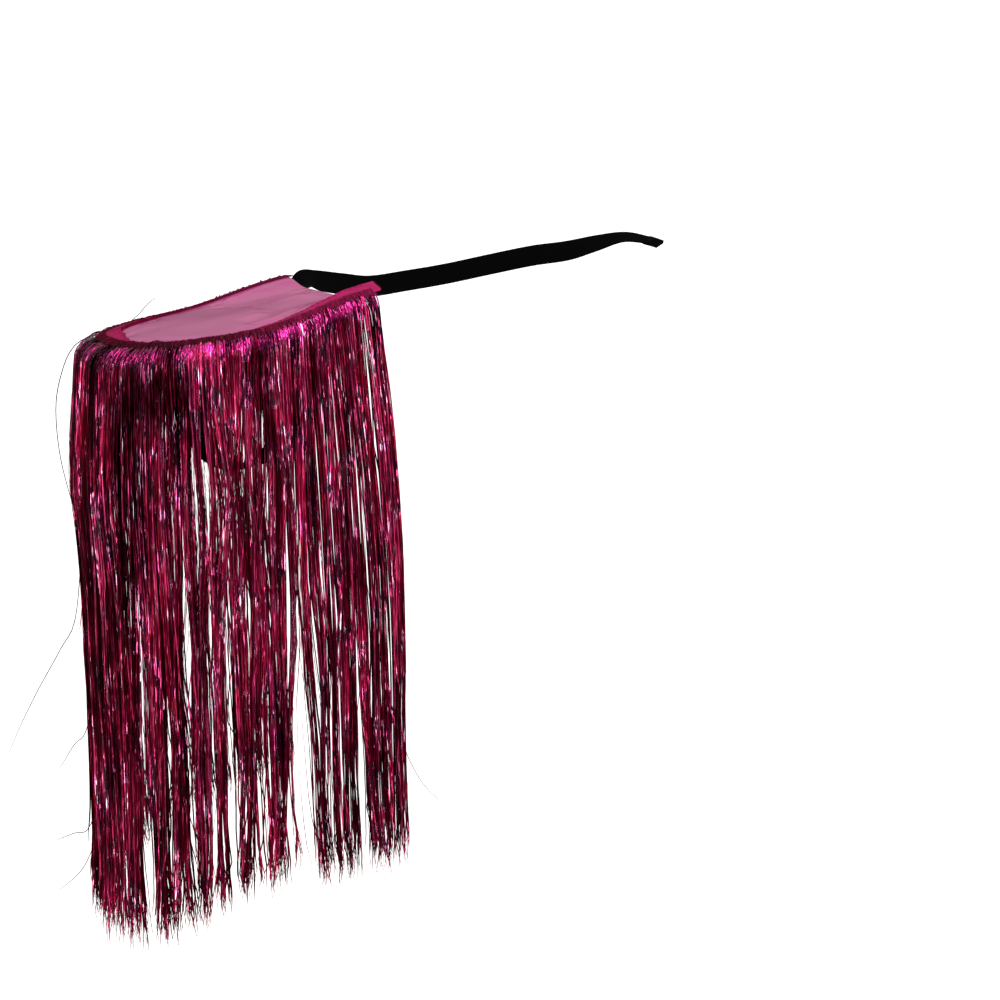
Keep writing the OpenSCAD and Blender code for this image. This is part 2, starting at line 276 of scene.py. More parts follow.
# %% [markdown]
# The pad is a thin foam plate in a glossy vinyl cover. A grid is laid between its four sides,
# so that no point of the cover is crowded: the curved edge makes three of them, which meet in
# its rounded outer corners, and the neck edge is the fourth.
# %% The pad's cover
PAD_CELLS = 72
OUTER_CORNER = 0.36  # share of the edge's length at which each rounded outer corner lies
COVER_INSET = 0.4

sides = {
    "front": edge_at(np.linspace(0, OUTER_CORNER, PAD_CELLS) * EDGE_LENGTH),
    "outer": edge_at(np.linspace(OUTER_CORNER, 1 - OUTER_CORNER, PAD_CELLS) * EDGE_LENGTH),
    "back": edge_at(np.linspace(1, 1 - OUTER_CORNER, PAD_CELLS) * EDGE_LENGTH),
}
front, outer, back = [sides[k][0] - sides[k][2] * COVER_INSET for k in ("front", "outer", "back")]
neck = front[0] + np.linspace(0, 1, PAD_CELLS)[:, None] * (back[0] - front[0])
u, v = np.meshgrid(np.linspace(0, 1, PAD_CELLS), np.linspace(0, 1, PAD_CELLS), indexing="ij")
u, v = u[..., None], v[..., None]
cover_xy = ((1 - v) * front[:, None] + v * back[:, None] + (1 - u) * neck[None] + u * outer[None]
            - (1 - u) * (1 - v) * neck[0] - (1 - u) * v * neck[-1]
            - u * (1 - v) * outer[0] - u * v * outer[-1])
cover_top = np.dstack([cover_xy, pad_z(cover_xy[..., 0], cover_xy[..., 1])])
cover_under = cover_top - np.array([0, 0, PAD_THICK])
print("pad cover is a grid of", PAD_CELLS, "by", PAD_CELLS, "cells")

# %% [markdown]
# Vinyl film is a little larger than the foam under it, so it puckers where the tape holds it.
# The cloth solver does the same: the film is 1.5 percent too large, it is held under the tape
# and along the neck edge, and a light pressure decides that it lifts rather than sinks. The
# cap stands for the foam, on which the real film lies closely.
# %% Let the film pucker as cloth
HELD_WIDTH = 10.0
TOO_LARGE = 0.015
FILM_MASS = 0.1
FILM_STIFFNESS = 0.4
SWELLING = 1.0
MOST_MOVE = 0.9
CLOTH_FRAMES = 24


def puckered(points):
    """The cover's top after the cloth solver has let it swell between its held borders."""
    film = new_object("film", mesh_from("film", points, grid_faces(PAD_CELLS, PAD_CELLS)))
    rim = np.stack([edge_x, edge_y], -1)[::8]
    flat = points[..., :2].reshape(-1, 1, 2)
    from_rim = np.min(np.linalg.norm(flat - rim[None], axis=-1), axis=1)
    from_neck = NECK_X - flat[:, 0, 0]
    held = film.vertex_groups.new(name="held")
    for i in np.flatnonzero((from_rim < HELD_WIDTH) | (from_neck < 1)):
        held.add([int(i)], 1.0, "REPLACE")
    settings = film.modifiers.new("cloth", "CLOTH").settings
    settings.vertex_group_mass = "held"
    settings.quality = 6
    settings.mass = FILM_MASS
    settings.bending_stiffness = FILM_STIFFNESS
    settings.shrink_min = -TOO_LARGE
    settings.use_pressure = True
    settings.uniform_pressure_force = SWELLING
    settings.effector_weights.gravity = 0
    for frame_number in range(1, CLOTH_FRAMES + 1):
        scene.frame_set(frame_number)
    evaluated = film.evaluated_get(bpy.context.evaluated_depsgraph_get())
    moved = np.array([v.co for v in evaluated.data.vertices]) / MM - points.reshape(-1, 3)
    scene.frame_set(1)
    bpy.data.objects.remove(film)
    far = np.linalg.norm(moved, axis=1, keepdims=True)
    print("film moved at most", round(float(far.max()), 2), "mm before the cap")
    moved *= MOST_MOVE * np.tanh(far / MOST_MOVE) / np.maximum(far, 1e-6)
    return points + moved.reshape(points.shape)


cover_top = puckered(cover_top)
pad = new_object("pad_cover", closed_sheet("pad_cover", cover_top, cover_under))
shade_sheet(pad.data)
print("pad cover has", len(pad.data.polygons), "faces")

# %% [markdown]
# The edge tape is a narrow woven tape sewn on top of the pad's edge. It follows the edge with
# a small lip outside it, stands up a little at the front corner and leaves a loose tail past
# each corner. Round the front and the back it is folded down over the edge, so less of it
# shows on top. Where it goes round the bend its inner edge is too long, so it puckers there.
# %% Edge tape
TAPE_W = 13.0
TAPE_THICK = 1.1
TAPE_LIP = 2.5
TAPE_TAIL = 5.0
TAPE_TAIL_BACK = 2.0
TAPE_STAND = 3.5
STAND_REACH = 55.0
STAND_BEND = 1.4
TAIL_RISE = 0.22
SEAT_GAP = 0.3
PRESSED = 0.5  # along the back the tape is pressed flat from PRESSED_FROM on
PRESSED_FROM = 290.0
TAPE_SHARES = (  # share of the edge's length, share of the tape's width that shows on top
    (0.0, 1.0), (0.08, 0.92), (0.14, 0.72), (0.2, 0.46), (0.26, 0.38), (0.41, 0.38), (0.46, 0.66),
    (0.51, 0.95), (0.56, 1.0), (0.62, 0.92), (0.68, 0.66), (0.75, 0.46), (0.85, 0.36), (1.0, 0.32))
TAPE_ROWS = 520
TAPE_COLUMNS = 13
PUCKERS = (  # wavelength along the edge, height, where on the wave it starts
    (11.0, 0.3, 0.3), (17.0, 0.3, 1.9), (29.0, 0.25, 4.0))


def puckers(s, f):
    """Height of the small waves in the tape, at its inner edge and round the bend."""
    waves = sum(high * (1 + np.sin(2 * np.pi * s / long + start)) for long, high, start in PUCKERS)
    return waves * np.maximum(0, 1 - f) ** 1.5 * (
        0.25 + 0.75 * ease(95, 150, s) * (1 - ease(290, 340, s)))


def tape_width(s):
    """Width of the tape that shows on top of the pad at length s."""
    return TAPE_W * np.interp(s / EDGE_LENGTH, *np.array(TAPE_SHARES).T)


def tape_seat(s, f):
    """Underside of the tape at length s, where f runs from 0 at its inner edge to 1 at its outer."""
    place, along, outward = edge_at(s)
    stand = TAPE_STAND * (1 - ease(0, STAND_REACH, s)) * np.maximum(0, 1 - f) ** STAND_BEND
    tip = TAIL_RISE * np.maximum(0, -s)
    xy = place + outward * (TAPE_LIP - tape_width(s) * (1 - f))[..., None]
    return np.dstack([xy, pad_z_held(xy[..., 0], xy[..., 1]) + stand + tip])


def tape_top(s, f):
    """Top of the tape at the same places."""
    top = tape_seat(s, f)
    pressed = PRESSED * ease(PRESSED_FROM - 30, PRESSED_FROM, s)
    top[..., 2] += SEAT_GAP + TAPE_THICK - pressed + puckers(s, f)
    return top


tape_s, tape_f = np.meshgrid(np.linspace(-TAPE_TAIL, EDGE_LENGTH + TAPE_TAIL_BACK, TAPE_ROWS),
                             np.linspace(0, 1, TAPE_COLUMNS), indexing="ij")
tape_upper = tape_top(tape_s, tape_f)
tape_lower = tape_seat(tape_s, tape_f) + np.array([0, 0, 0.05])
tape = new_object("edge_tape_woven", closed_sheet("edge_tape_woven", tape_upper, tape_lower))
shade_sheet(tape.data)
name_corners(tape.data, np.concatenate([np.stack([tape_s, tape_f * TAPE_W], -1)] * 2) * MM)
print("tape is", round(float(EDGE_LENGTH + TAPE_TAIL + TAPE_TAIL_BACK)), "mm long")

# %% [markdown]
# The fringe is some two thousand strands of metallised film. They all follow one imaginary curtain:
# out from under the tape, over a small bend and straight down. Lower down the strands cling
# together in locks, so the curtain is drawn together there and stretched thin in between. A
# row of the table is one lock: where it lies at its tips in hundredths of the edge's length,
# its length beyond the fringe's drop, and how far down the gap in front of it opens.
# %% Locks
FRINGE_DROP = 345.0
LOCKS = (  # start, end, longer by, gap opens at
    (1.6, 5.2, 13, 130), (5.7, 7.6, 13, 150), (8.7, 11.8, 11, 200), (12.1, 14.6, 6, 175),
    (17.4, 19.1, -4, 140), (19.6, 21.4, -4, 130), (22.9, 25.5, -1, 98), (27.0, 28.9, 5, 84),
    (29.5, 31.9, 14, 70), (32.7, 34.9, 18, 70), (35.2, 37.3, 22, 125), (38.7, 41.0, 28, 100),
    (41.3, 43.7, 30, 135), (44.2, 47.0, 30, 80), (47.5, 50.4, 29, 125), (51.0, 53.8, 27, 95),
    (54.4, 57.2, 28, 130), (57.9, 60.6, 25, 90), (61.6, 64.4, 23, 115), (65.2, 67.9, 20, 85),
    (69.2, 71.6, 18, 110), (72.6, 75.4, 14, 80), (76.9, 79.3, 12, 100), (80.6, 83.4, 7, 85),
    (84.9, 87.2, 8, 110), (88.5, 91.2, 4, 90), (92.6, 95.0, 5, 105), (96.4, 99.0, 2, 120))
DRAWN_IN = 0.7
FRINGE_INSET = 1.5

lock_start, lock_end, lock_extra, lock_opens = np.array(LOCKS, float).T
lock_start, lock_end = lock_start * EDGE_LENGTH / 100, lock_end * EDGE_LENGTH / 100
borders = np.concatenate([[FRINGE_INSET], (lock_end[:-1] + lock_start[1:]) / 2,
                          [EDGE_LENGTH - FRINGE_INSET]])
border_opens = np.append(lock_opens, lock_opens[-1])
print(len(LOCKS), "locks")

# %% [markdown]
# The curtain itself is never shown. It is a grid whose UV map says how far round the edge (u)
# and how far down (v) a place is, and a node tree later reads places from it, with the
# directions outward and sideways. Two weights are painted on it as well: how full the fringe
# hangs there (where it is thin the strands cling closer and many have twisted up as thin as
# hairs, so light comes through), and light, which is painted shade on whole patches of strands
# that hang in shade and a painted highlight on a few brighter ones. First come its sizes and
# the tables for both weights.
# %% Sizes of the curtain that the strands follow
ROLL_END = 18.5
ROLL_SIDE = 11.0
BEND_END = 13.0
BEND_SIDE = 8.0
MOST_FLARE, LEAST_FLARE = 8.0, 1.6  # how far out the tips hang from the bend in mm
FLARES = (  # share of the edge's length, and the flare there
    (0.0, MOST_FLARE), (0.3, 7.5), (0.42, 4.0), (0.52, LEAST_FLARE), (0.6, LEAST_FLARE), (0.7, 5.0),
    (0.82, MOST_FLARE), (1.0, MOST_FLARE))
BULGE = 4.5  # where the flare is least, the strands bulge out below the bend instead
BULGE_LENGTH = 130.0
CORNER_DRIFT = 17.0
DRIFT_REACH = 70.0
DRIFT_DEPTH = 0.75
ROLL_START = 0.6
PAST_TIPS = 1.08  # the curtain runs on past its tips by this factor
CURTAIN_COLUMNS = 521  # fine enough that no lock's side shows steps
CURTAIN_ROWS = 101
FULLNESS = (  # share of the edge's length, how full the fringe is there in its upper and lower half
    (0.0, 1.0, 0.95), (0.1, 1.0, 0.85), (0.13, 0.98, 0.5), (0.17, 0.8, 0.5), (0.21, 0.5, 0.9),
    (0.3, 0.4, 0.8), (0.34, 0.8, 0.9), (0.37, 1.0, 1.0), (0.5, 1.0, 1.0), (0.58, 0.95, 0.95),
    (0.66, 0.7, 0.7), (0.74, 0.35, 0.7), (0.95, 0.3, 0.65), (1.0, 0.4, 0.7))
OPENINGS = (  # across, down, half width, half height, how much thinner the fringe hangs there
    (0.24, 0.28, 0.045, 0.14, 1.0), (0.88, 0.28, 0.1, 0.18, 1.0), (0.15, 0.6, 0.02, 0.2, 0.4))
# SHADES paints onto the strands' colour: a positive amount is painted shade, one below 0 a painted
# highlight.
SHADES = (  # across, down, half width, half height, how dark, or how bright below 0
    (0.385, 0.13, 0.03, 0.12, 0.93), (0.345, 0.1, 0.035, 0.07, 0.92), (0.31, 0.1, 0.02, 0.06, 0.85),
    (0.46, 0.1, 0.035, 0.07, -0.5), (0.285, 0.12, 0.015, 0.06, -0.3), (0.22, 0.09, 0.012, 0.04, 0.6),
    (0.06, 0.10, 0.05, 0.05, 0.5), (0.08, 0.40, 0.03, 0.10, 0.6), (0.50, 0.34, 0.09, 0.12, 0.55),
    (0.38, 0.30, 0.02, 0.10, 0.6), (0.32, 0.60, 0.03, 0.12, 0.5), (0.14, 0.75, 0.02, 0.2, 0.5),
    (0.56, 0.02, 0.1, 0.05, 0.75))


print(len(OPENINGS), "thin places and", len(SHADES), "shaded or bright patches in the fringe")

# %% [markdown]
# A strand leaves the edge level, goes over a bend of a few millimetres and hangs. Heaped
# strands stand out further at the outer end. One function gives any place on the curtain, and
# another says how the locks have drawn the strands together.
# %% Shape of the curtain
def between(side, end, s):
    """Value at length s of a size that runs from side beside the neck to end at the outer end."""
    return side + (end - side) * np.sin(np.pi * s / EDGE_LENGTH) ** 2


def roll_out(s):
    """How far the strands stand out from the edge before they hang."""
    return between(ROLL_SIDE, ROLL_END, s)


def bend_radius(s):
    """Radius of the strands' bend, largest at the outer end."""
    return between(BEND_SIDE, BEND_END, s)


def hangs_out(s, hang):
    """How far out from the bend a strand hangs after the length hang below it."""
    flare = np.interp(s / EDGE_LENGTH, *np.array(FLARES).T)
    bulge = BULGE * np.sin(np.pi * np.minimum(1, hang / BULGE_LENGTH))
    bulge = bulge * (MOST_FLARE - flare) / (MOST_FLARE - LEAST_FLARE)
    return flare * hang / FRINGE_DROP + bulge


def curtain(s, d):
    """Place on the curtain at length s round the edge and d along the strands, and its directions."""
    drift = CORNER_DRIFT * (1 - ease(0, DRIFT_REACH, s)) * np.sin(
        np.pi / 2 * np.minimum(1, d / (DRIFT_DEPTH * FRINGE_DROP)))
    place, along, outward = edge_at(s - drift)
    bend = bend_radius(s - drift)
    flat = roll_out(s - drift) - bend
    turn = np.clip((d - flat) / bend, 0, np.pi / 2)
    hang = np.maximum(0, d - flat - bend * np.pi / 2)
    out = np.minimum(d, flat) + bend * np.sin(turn) + hangs_out(s, hang)
    down = bend * (1 - np.cos(turn)) + hang
    xy = place + outward * (ROLL_START + out)[..., None]
    height = pad_z_held(xy[..., 0], xy[..., 1]) - PAD_THICK / 2 - down
    return np.dstack([xy, height]), outward, along


def drawn_together(s, v):
    """Where the strand that starts at length s hangs at share v of its length, and its length."""
    i = np.clip(np.searchsorted(borders, s) - 1, 0, len(LOCKS) - 1)
    share = (s - borders[i]) / (borders[i + 1] - borders[i])
    rim = edge_at(s)[0]
    full = FRINGE_DROP + lock_extra[i] + curl_z(rim[..., 0], rim[..., 1]) + roll_out(s) - BEND_SIDE
    opens = border_opens[i] + (border_opens[i + 1] - border_opens[i]) * share
    pull = ease(0, DRAWN_IN, (v * full - opens) / (full - opens))
    at_tip = lock_start[i] + (lock_end[i] - lock_start[i]) * share
    return s + (at_tip - s) * pull, full


print("strands stand out", round(float(roll_out(EDGE_LENGTH / 2)), 1), "mm at the outer end")

# %% [markdown]
# With the shape known, the grid is laid over it. The two directions and the two weights go
# onto its points as attributes, which a node tree can read between the points too.
# %% Mesh of the curtain
curtain_u, curtain_v = np.meshgrid(np.linspace(0, 1, CURTAIN_COLUMNS),
                                   np.linspace(0, 1, CURTAIN_ROWS), indexing="ij")
start_s = FRINGE_INSET + (EDGE_LENGTH - 2 * FRINGE_INSET) * curtain_u
curtain_s, full_length = drawn_together(start_s, curtain_v * PAST_TIPS)
curtain_points, curtain_out, curtain_along = curtain(curtain_s, curtain_v * PAST_TIPS * full_length)
curtain_mesh = mesh_from("curtain", curtain_points, grid_faces(CURTAIN_COLUMNS, CURTAIN_ROWS))
name_corners(curtain_mesh, np.stack([curtain_u, curtain_v], -1))
for name, vectors in (("outward", curtain_out), ("sideways", curtain_along)):
    flat_vectors = np.dstack([vectors, np.zeros(vectors.shape[:2])]).astype(np.float32)
    layer = curtain_mesh.attributes.new(name, "FLOAT_VECTOR", "POINT")
    layer.data.foreach_set("vector", flat_vectors.ravel())
places, upper_half, lower_half = np.array(FULLNESS).T
fullness = np.interp(curtain_u, places, upper_half)
fullness += (np.interp(curtain_u, places, lower_half) - fullness) * ease(0.4, 0.7, curtain_v)
light = np.ones(curtain_u.shape)
for weight, patches in ((fullness, OPENINGS), (light, SHADES)):
    for across, down, half_width, half_height, amount in patches:
        off = (((curtain_u - across) / half_width) ** 2
               + ((curtain_v * PAST_TIPS - down) / half_height) ** 2)
        weight *= 1 - amount * np.exp(-off)
fullness = 1 - (1 - fullness) * ease(0.04, 0.24, curtain_v)
number_points(curtain_mesh, {"fullness": fullness, "light": light})
print("curtain hangs", round(float(full_length.max())), "mm at its longest")

# %% [markdown]
# One strand is a short list of places along its length, close together at the bend and at the
# tip. Each place says how far down it is (share), how strongly the strand has gathered into
# its wisp there (gather), how far it may stray (room), how wide it is (slim), how much it
# curls (curl) and how far it may ride up over its neighbours in the bend (lift).
# %% A template for one strand
RINGS = (  # places along a strand in mm
    0, 4, 8, 12, 16, 20, 28, 45, 70, 100, 135, 170, 205, 240, 272, 300, 322, 338, 350, 359, 365)


def template_line(name, shares, **columns):
    """Line of points, one for each share of its length, with a named number for each point."""
    mesh = mesh_from(name, [(0, 0, z) for z in shares], [],
                     [(i, i + 1) for i in range(len(shares) - 1)])
    number_points(mesh, dict(columns, share=shares))
    return new_object(name, mesh)


share = np.array(RINGS) / RINGS[-1]
template = template_line(
    "strand_template", share,
    gather=ease(0.03, 0.26, share),
    room=ease(0.02, 0.3, share) + 0.6 * ease(0.85, 1, share),
    slim=(0.85 + 0.15 * ease(0.01, 0.08, share)) * (1 - 0.7 * ease(0.95, 1, share)),
    curl=ease(0.88, 1, share),
    lift=ease(0, 0.02, share) * (1 - ease(0.05, 0.11, share)))
print("a strand has", len(share), "places")

# %% [markdown]
# Geometry Nodes place the strands: random points carry each strand's own numbers, the
# template is instanced on every point, and every place of every strand is then moved to the
# curtain. Two thousand strands are too many to place by hand, and a tree with named inputs
# lets one description serve all of them.
# %% Node tree for tinsel strands
def new_tree(name, sockets):
    """Empty geometry tree with a geometry input and output and the named inputs."""
    tree = bpy.data.node_groups.new(name, "GeometryNodeTree")
    tree.interface.new_socket("Geometry", in_out="OUTPUT", socket_type="NodeSocketGeometry")
    for socket, kind in (("Geometry", "Geometry"),) + sockets:
        tree.interface.new_socket(socket, in_out="INPUT", socket_type="NodeSocket" + kind)
    return tree


tinsel = new_tree("tinsel strands", (
    ("Template", "Object"), ("Count", "Int"), ("Seed", "Int"), ("Wisps", "Int"),
    ("From", "Float"), ("To", "Float"), ("Width", "Float"), ("Film", "Float"),
    ("Depth", "Float"), ("Sway", "Float"), ("Shortest", "Float"), ("Twist", "Float"),
    ("Curl", "Float"), ("Past tips", "Float"), ("Material", "Material")))
given = add(tinsel, "NodeGroupInput").outputs
print("tinsel tree has", len(tinsel.interface.items_tree), "inputs and outputs")

# %% [markdown]
# Every strand draws numbers of its own, kept on its point, so all places of a strand know
# them once the instances are made real. The strands are spaced evenly along the edge, as a
# machine winds them on, but for a jitter.
# %% Numbers of its own for each strand
OWN_NUMBERS = (  # name, least, most
    ("jitter", -0.5, 1.5), ("short", 0.0, 1.0), ("deep", -0.5, 0.5), ("turn", -1.0, 1.0),
    ("spin", -1.0, 1.0), ("phase", 0.0, 300.0), ("loose", 0.0, 1.0), ("kept", 0.0, 1.0),
    ("breadth", 0.65, 1.25))
SEED_STEP = 101.0  # keeps the seeds of a strand's numbers apart
READ_NUMBERS = ("share", "gather", "room", "slim", "curl", "lift", "start", "down", "open",
                "fullness", "light") + tuple(row[0] for row in OWN_NUMBERS)

own = {name: add(tinsel, "GeometryNodeInputNamedAttribute", {"Name": name}).outputs[0]
       for name in READ_NUMBERS}
uv, outward, sideways = [
    add(tinsel, "GeometryNodeInputNamedAttribute", {"Name": name}, data_type="FLOAT_VECTOR").outputs[0]
    for name in ("UVMap", "outward", "sideways")]
points = add(tinsel, "GeometryNodePoints", {"Count": given["Count"]}).outputs[0]
for step, (name, low, high) in enumerate(OWN_NUMBERS):
    seed = add(tinsel, "ShaderNodeMath", {0: given["Seed"], 1: step * SEED_STEP}).outputs[0]
    number = add(tinsel, "FunctionNodeRandomValue", {2: low, 3: high, "Seed": seed}).outputs[1]
    points = add(tinsel, "GeometryNodeStoreNamedAttribute",
                 {"Geometry": points, "Name": name, "Value": number}).outputs[0]
index = add(tinsel, "GeometryNodeInputIndex").outputs[0]
place = add(tinsel, "ShaderNodeMath", {0: index, 1: own["jitter"]}).outputs[0]
start = add(tinsel, "ShaderNodeMapRange", {
    "Value": place, "From Max": given["Count"], "To Min": given["From"],
    "To Max": given["To"]}).outputs[0]
points = add(tinsel, "GeometryNodeStoreNamedAttribute",
             {"Geometry": points, "Name": "start", "Value": start}).outputs[0]
line = add(tinsel, "GeometryNodeObjectInfo", {"Object": given["Template"]}).outputs["Geometry"]
placed = add(tinsel, "GeometryNodeInstanceOnPoints", {"Points": points, "Instance": line})
lines = add(tinsel, "GeometryNodeRealizeInstances", {0: placed.outputs[0]})
strands = add(tinsel, "GeometryNodeMeshToCurve", {0: lines.outputs[0]}).outputs[0]
print("each strand has", len(OWN_NUMBERS), "random numbers of its own")

# %% [markdown]
# Rubbed film is charged, so strands cling together in wisps a few millimetres wide. Most
# strands of one stretch of the edge cling round a middle of their own, some hang loose, and
# each wisp has a tightness of its own.
# %% Wisps
CLINGING = 0.84  # share of the strands that belong to a wisp
MIDDLE_FROM, MIDDLE_TO = 0.2, 0.8  # where in its stretch of the edge a wisp has its middle
LEAST_TIGHT = 0.6  # the loosest wisp has drawn its strands together by this share

start = own["start"]
bound = add(tinsel, "ShaderNodeMath", {0: own["loose"], 1: CLINGING}, operation="LESS_THAN").outputs[0]
counted = add(tinsel, "ShaderNodeMath", {0: start, 1: given["Wisps"]}, operation="MULTIPLY").outputs[0]
wisp = add(tinsel, "ShaderNodeMath", {0: counted}, operation="FLOOR").outputs[0]
shifted = add(tinsel, "FunctionNodeRandomValue", {
    2: MIDDLE_FROM, 3: MIDDLE_TO, "ID": wisp}).outputs[1]
middle = add(tinsel, "ShaderNodeMath", {0: wisp, 1: shifted}).outputs[0]
centre = add(tinsel, "ShaderNodeMath", {0: middle, 1: given["Wisps"]}, operation="DIVIDE").outputs[0]
aside = add(tinsel, "ShaderNodeMath", {0: counted, 1: middle}, operation="SUBTRACT").outputs[0]
aside = add(tinsel, "ShaderNodeMath", {0: aside}, operation="ABSOLUTE").outputs[0]
tight = add(tinsel, "FunctionNodeRandomValue", {
    2: LEAST_TIGHT, 3: 1.0, "ID": wisp, "Seed": 9}).outputs[1]
print("with wisps the tree has", len(tinsel.nodes), "nodes")

# %% [markdown]
# How far down each place of a strand lies. Wisps end in a point, because they are longest in
# their middle, a few strands are cut short, none leaves the curtain, and each strand has its
# places at slightly different heights, so no line shows where the rings would lie level.
# %% How far down
RARE = 14.0  # a power: the higher, the fewer strands are short
LONGEST = 1.03  # in shares of the curtain's length to its tips, as the two below are
RAGGED = 0.018  # how far the tips of one wisp differ by chance
POINTED = -0.06  # times the distance from the wisp's middle, in wisps
UNEVEN = 0.08
ON_CURTAIN = {1: 0.0005, 2: 0.9995}  # the least and the most of a place on the UV map

rare = add(tinsel, "ShaderNodeMath", {0: own["short"], 1: RARE}, operation="POWER").outputs[0]
down = add(tinsel, "ShaderNodeMapRange", {
    "Value": rare, "To Min": LONGEST, "To Max": given["Shortest"]}).outputs[0]
for number, amount in ((own["turn"], RAGGED), (aside, POINTED)):
    down = add(tinsel, "ShaderNodeMath", {0: number, 1: amount, 2: down},
               operation="MULTIPLY_ADD").outputs[0]
uneven = add(tinsel, "ShaderNodeMath", {0: own["turn"], 1: UNEVEN, 2: 1.0},
             operation="MULTIPLY_ADD").outputs[0]
along = add(tinsel, "ShaderNodeMath", {0: own["share"], 1: uneven}, operation="POWER").outputs[0]
down = add(tinsel, "ShaderNodeMath", {0: along, 1: down}, operation="MULTIPLY").outputs[0]
down = add(tinsel, "ShaderNodeMath", {0: down, 1: given["Past tips"]}, operation="DIVIDE").outputs[0]
down = add(tinsel, "ShaderNodeClamp", {0: down, **ON_CURTAIN}).outputs[0]
print("with heights it has", len(tinsel.nodes), "nodes")

# %% [markdown]
# Where round the edge it lies. The thinner the fringe hangs at a place, the closer its wisps
# cling there, and the loose strands hang at a slant. With both known, the curtain is read
# there: its position, its directions outward and sideways, and its light.
# %% Where round the edge
FULL_HOLDS_BACK = -0.75  # where the fringe is full, its wisps cling by so much less
SLANT = 0.065  # how far a loose strand's tip may hang aside, as a share of the edge's length

before = add(tinsel, "ShaderNodeCombineXYZ", {"X": start, "Y": down}).outputs[0]
full = add(tinsel, "GeometryNodeSampleUVSurface", {
    "Mesh": given["Geometry"], "Value": own["fullness"], "UV Map": uv,
    "Sample UV": before}).outputs[0]
cling = add(tinsel, "ShaderNodeMath", {0: full, 1: FULL_HOLDS_BACK, 2: 1.0},
            operation="MULTIPLY_ADD").outputs[0]
pull = bound
for factor in (own["gather"], tight, cling):
    pull = add(tinsel, "ShaderNodeMath", {0: pull, 1: factor}, operation="MULTIPLY").outputs[0]
away = add(tinsel, "ShaderNodeMath", {0: centre, 1: start}, operation="SUBTRACT").outputs[0]
around = add(tinsel, "ShaderNodeMath", {0: away, 1: pull, 2: start}, operation="MULTIPLY_ADD").outputs[0]
slant = add(tinsel, "ShaderNodeMath", {0: 1.0, 1: bound}, operation="SUBTRACT").outputs[0]
for factor in (own["spin"], own["share"]):
    slant = add(tinsel, "ShaderNodeMath", {0: slant, 1: factor}, operation="MULTIPLY").outputs[0]
around = add(tinsel, "ShaderNodeMath", {0: slant, 1: SLANT, 2: around},
             operation="MULTIPLY_ADD").outputs[0]
around = add(tinsel, "ShaderNodeClamp", {0: around, **ON_CURTAIN}).outputs[0]
where = add(tinsel, "ShaderNodeCombineXYZ", {"X": around, "Y": down}).outputs[0]
position = add(tinsel, "GeometryNodeInputPosition").outputs[0]
position, outward, sideways, painted = [
    add(tinsel, "GeometryNodeSampleUVSurface",
        {"Mesh": given["Geometry"], "Value": value, "UV Map": uv, "Sample UV": where},
        data_type=kind).outputs[0]
    for value, kind in ((position, "FLOAT_VECTOR"), (outward, "FLOAT_VECTOR"),
                        (sideways, "FLOAT_VECTOR"), (own["light"], "FLOAT"))]
print("with places it has", len(tinsel.nodes), "nodes")

# %% [markdown]
# The material needs to know four things of each place: how lit it is (some stretches of a
# wisp hang behind its neighbours, in their shade), how full the fringe is there, how far
# down it is, and a number that the strands of one wisp nearly share, because they are
# scuffed alike.
# %% Numbers for the material
SHADE_SCALE = 8.3  # some eight light and dark stretches down a wisp
SHADE_FROM, SHADE_TO = 0.36, 0.6  # noise values at the darkest and the brightest
DARKEST, BRIGHTEST = 0.22, 1.35
KIN_STEP = 3.7  # from one wisp's number to the next
KIN_OWN = 0.006  # times a strand's phase, which is up to 300

stretch = add(tinsel, "ShaderNodeCombineXYZ", {"X": wisp, "Y": down}).outputs[0]
stretch = add(tinsel, "ShaderNodeTexNoise", {"Vector": stretch, "Scale": SHADE_SCALE, "Detail": 1.0})
shaded = add(tinsel, "ShaderNodeMapRange", {
    "Value": stretch.outputs["Fac"], "From Min": SHADE_FROM, "From Max": SHADE_TO,
    "To Min": DARKEST, "To Max": BRIGHTEST}).outputs[0]
lit = add(tinsel, "ShaderNodeMath", {0: painted, 1: shaded}, operation="MULTIPLY").outputs[0]
kin = add(tinsel, "ShaderNodeMath", {0: own["phase"], 1: KIN_OWN}, operation="MULTIPLY").outputs[0]
kin = add(tinsel, "ShaderNodeMath", {0: wisp, 1: KIN_STEP, 2: kin}, operation="MULTIPLY_ADD").outputs[0]
for name, value in (("lit", lit), ("open", full), ("down", down), ("kin", kin)):
    strands = add(tinsel, "GeometryNodeStoreNamedAttribute",
                  {"Geometry": strands, "Name": name, "Value": value}).outputs[0]
print("with the material's numbers it has", len(tinsel.nodes), "nodes")

# %% [markdown]
# Film strands are light, so each wanders a little from the curtain and each wisp more, by
# slow noises of their own, and their tips curl. They also hang in layers, and in the bend
# the upper ones ride over those beneath.
# %% Sway, layers and curling tips
ALWAYS_FREE = 0.12
LEAST_LAYERED = 0.3
STRAND_WAVES, WISP_WAVES, CURL_WAVES = 5.0, 2.6, 17.0  # how often each noise turns down a strand
STRAND_SWAY = 0.45  # as a share of a wisp's

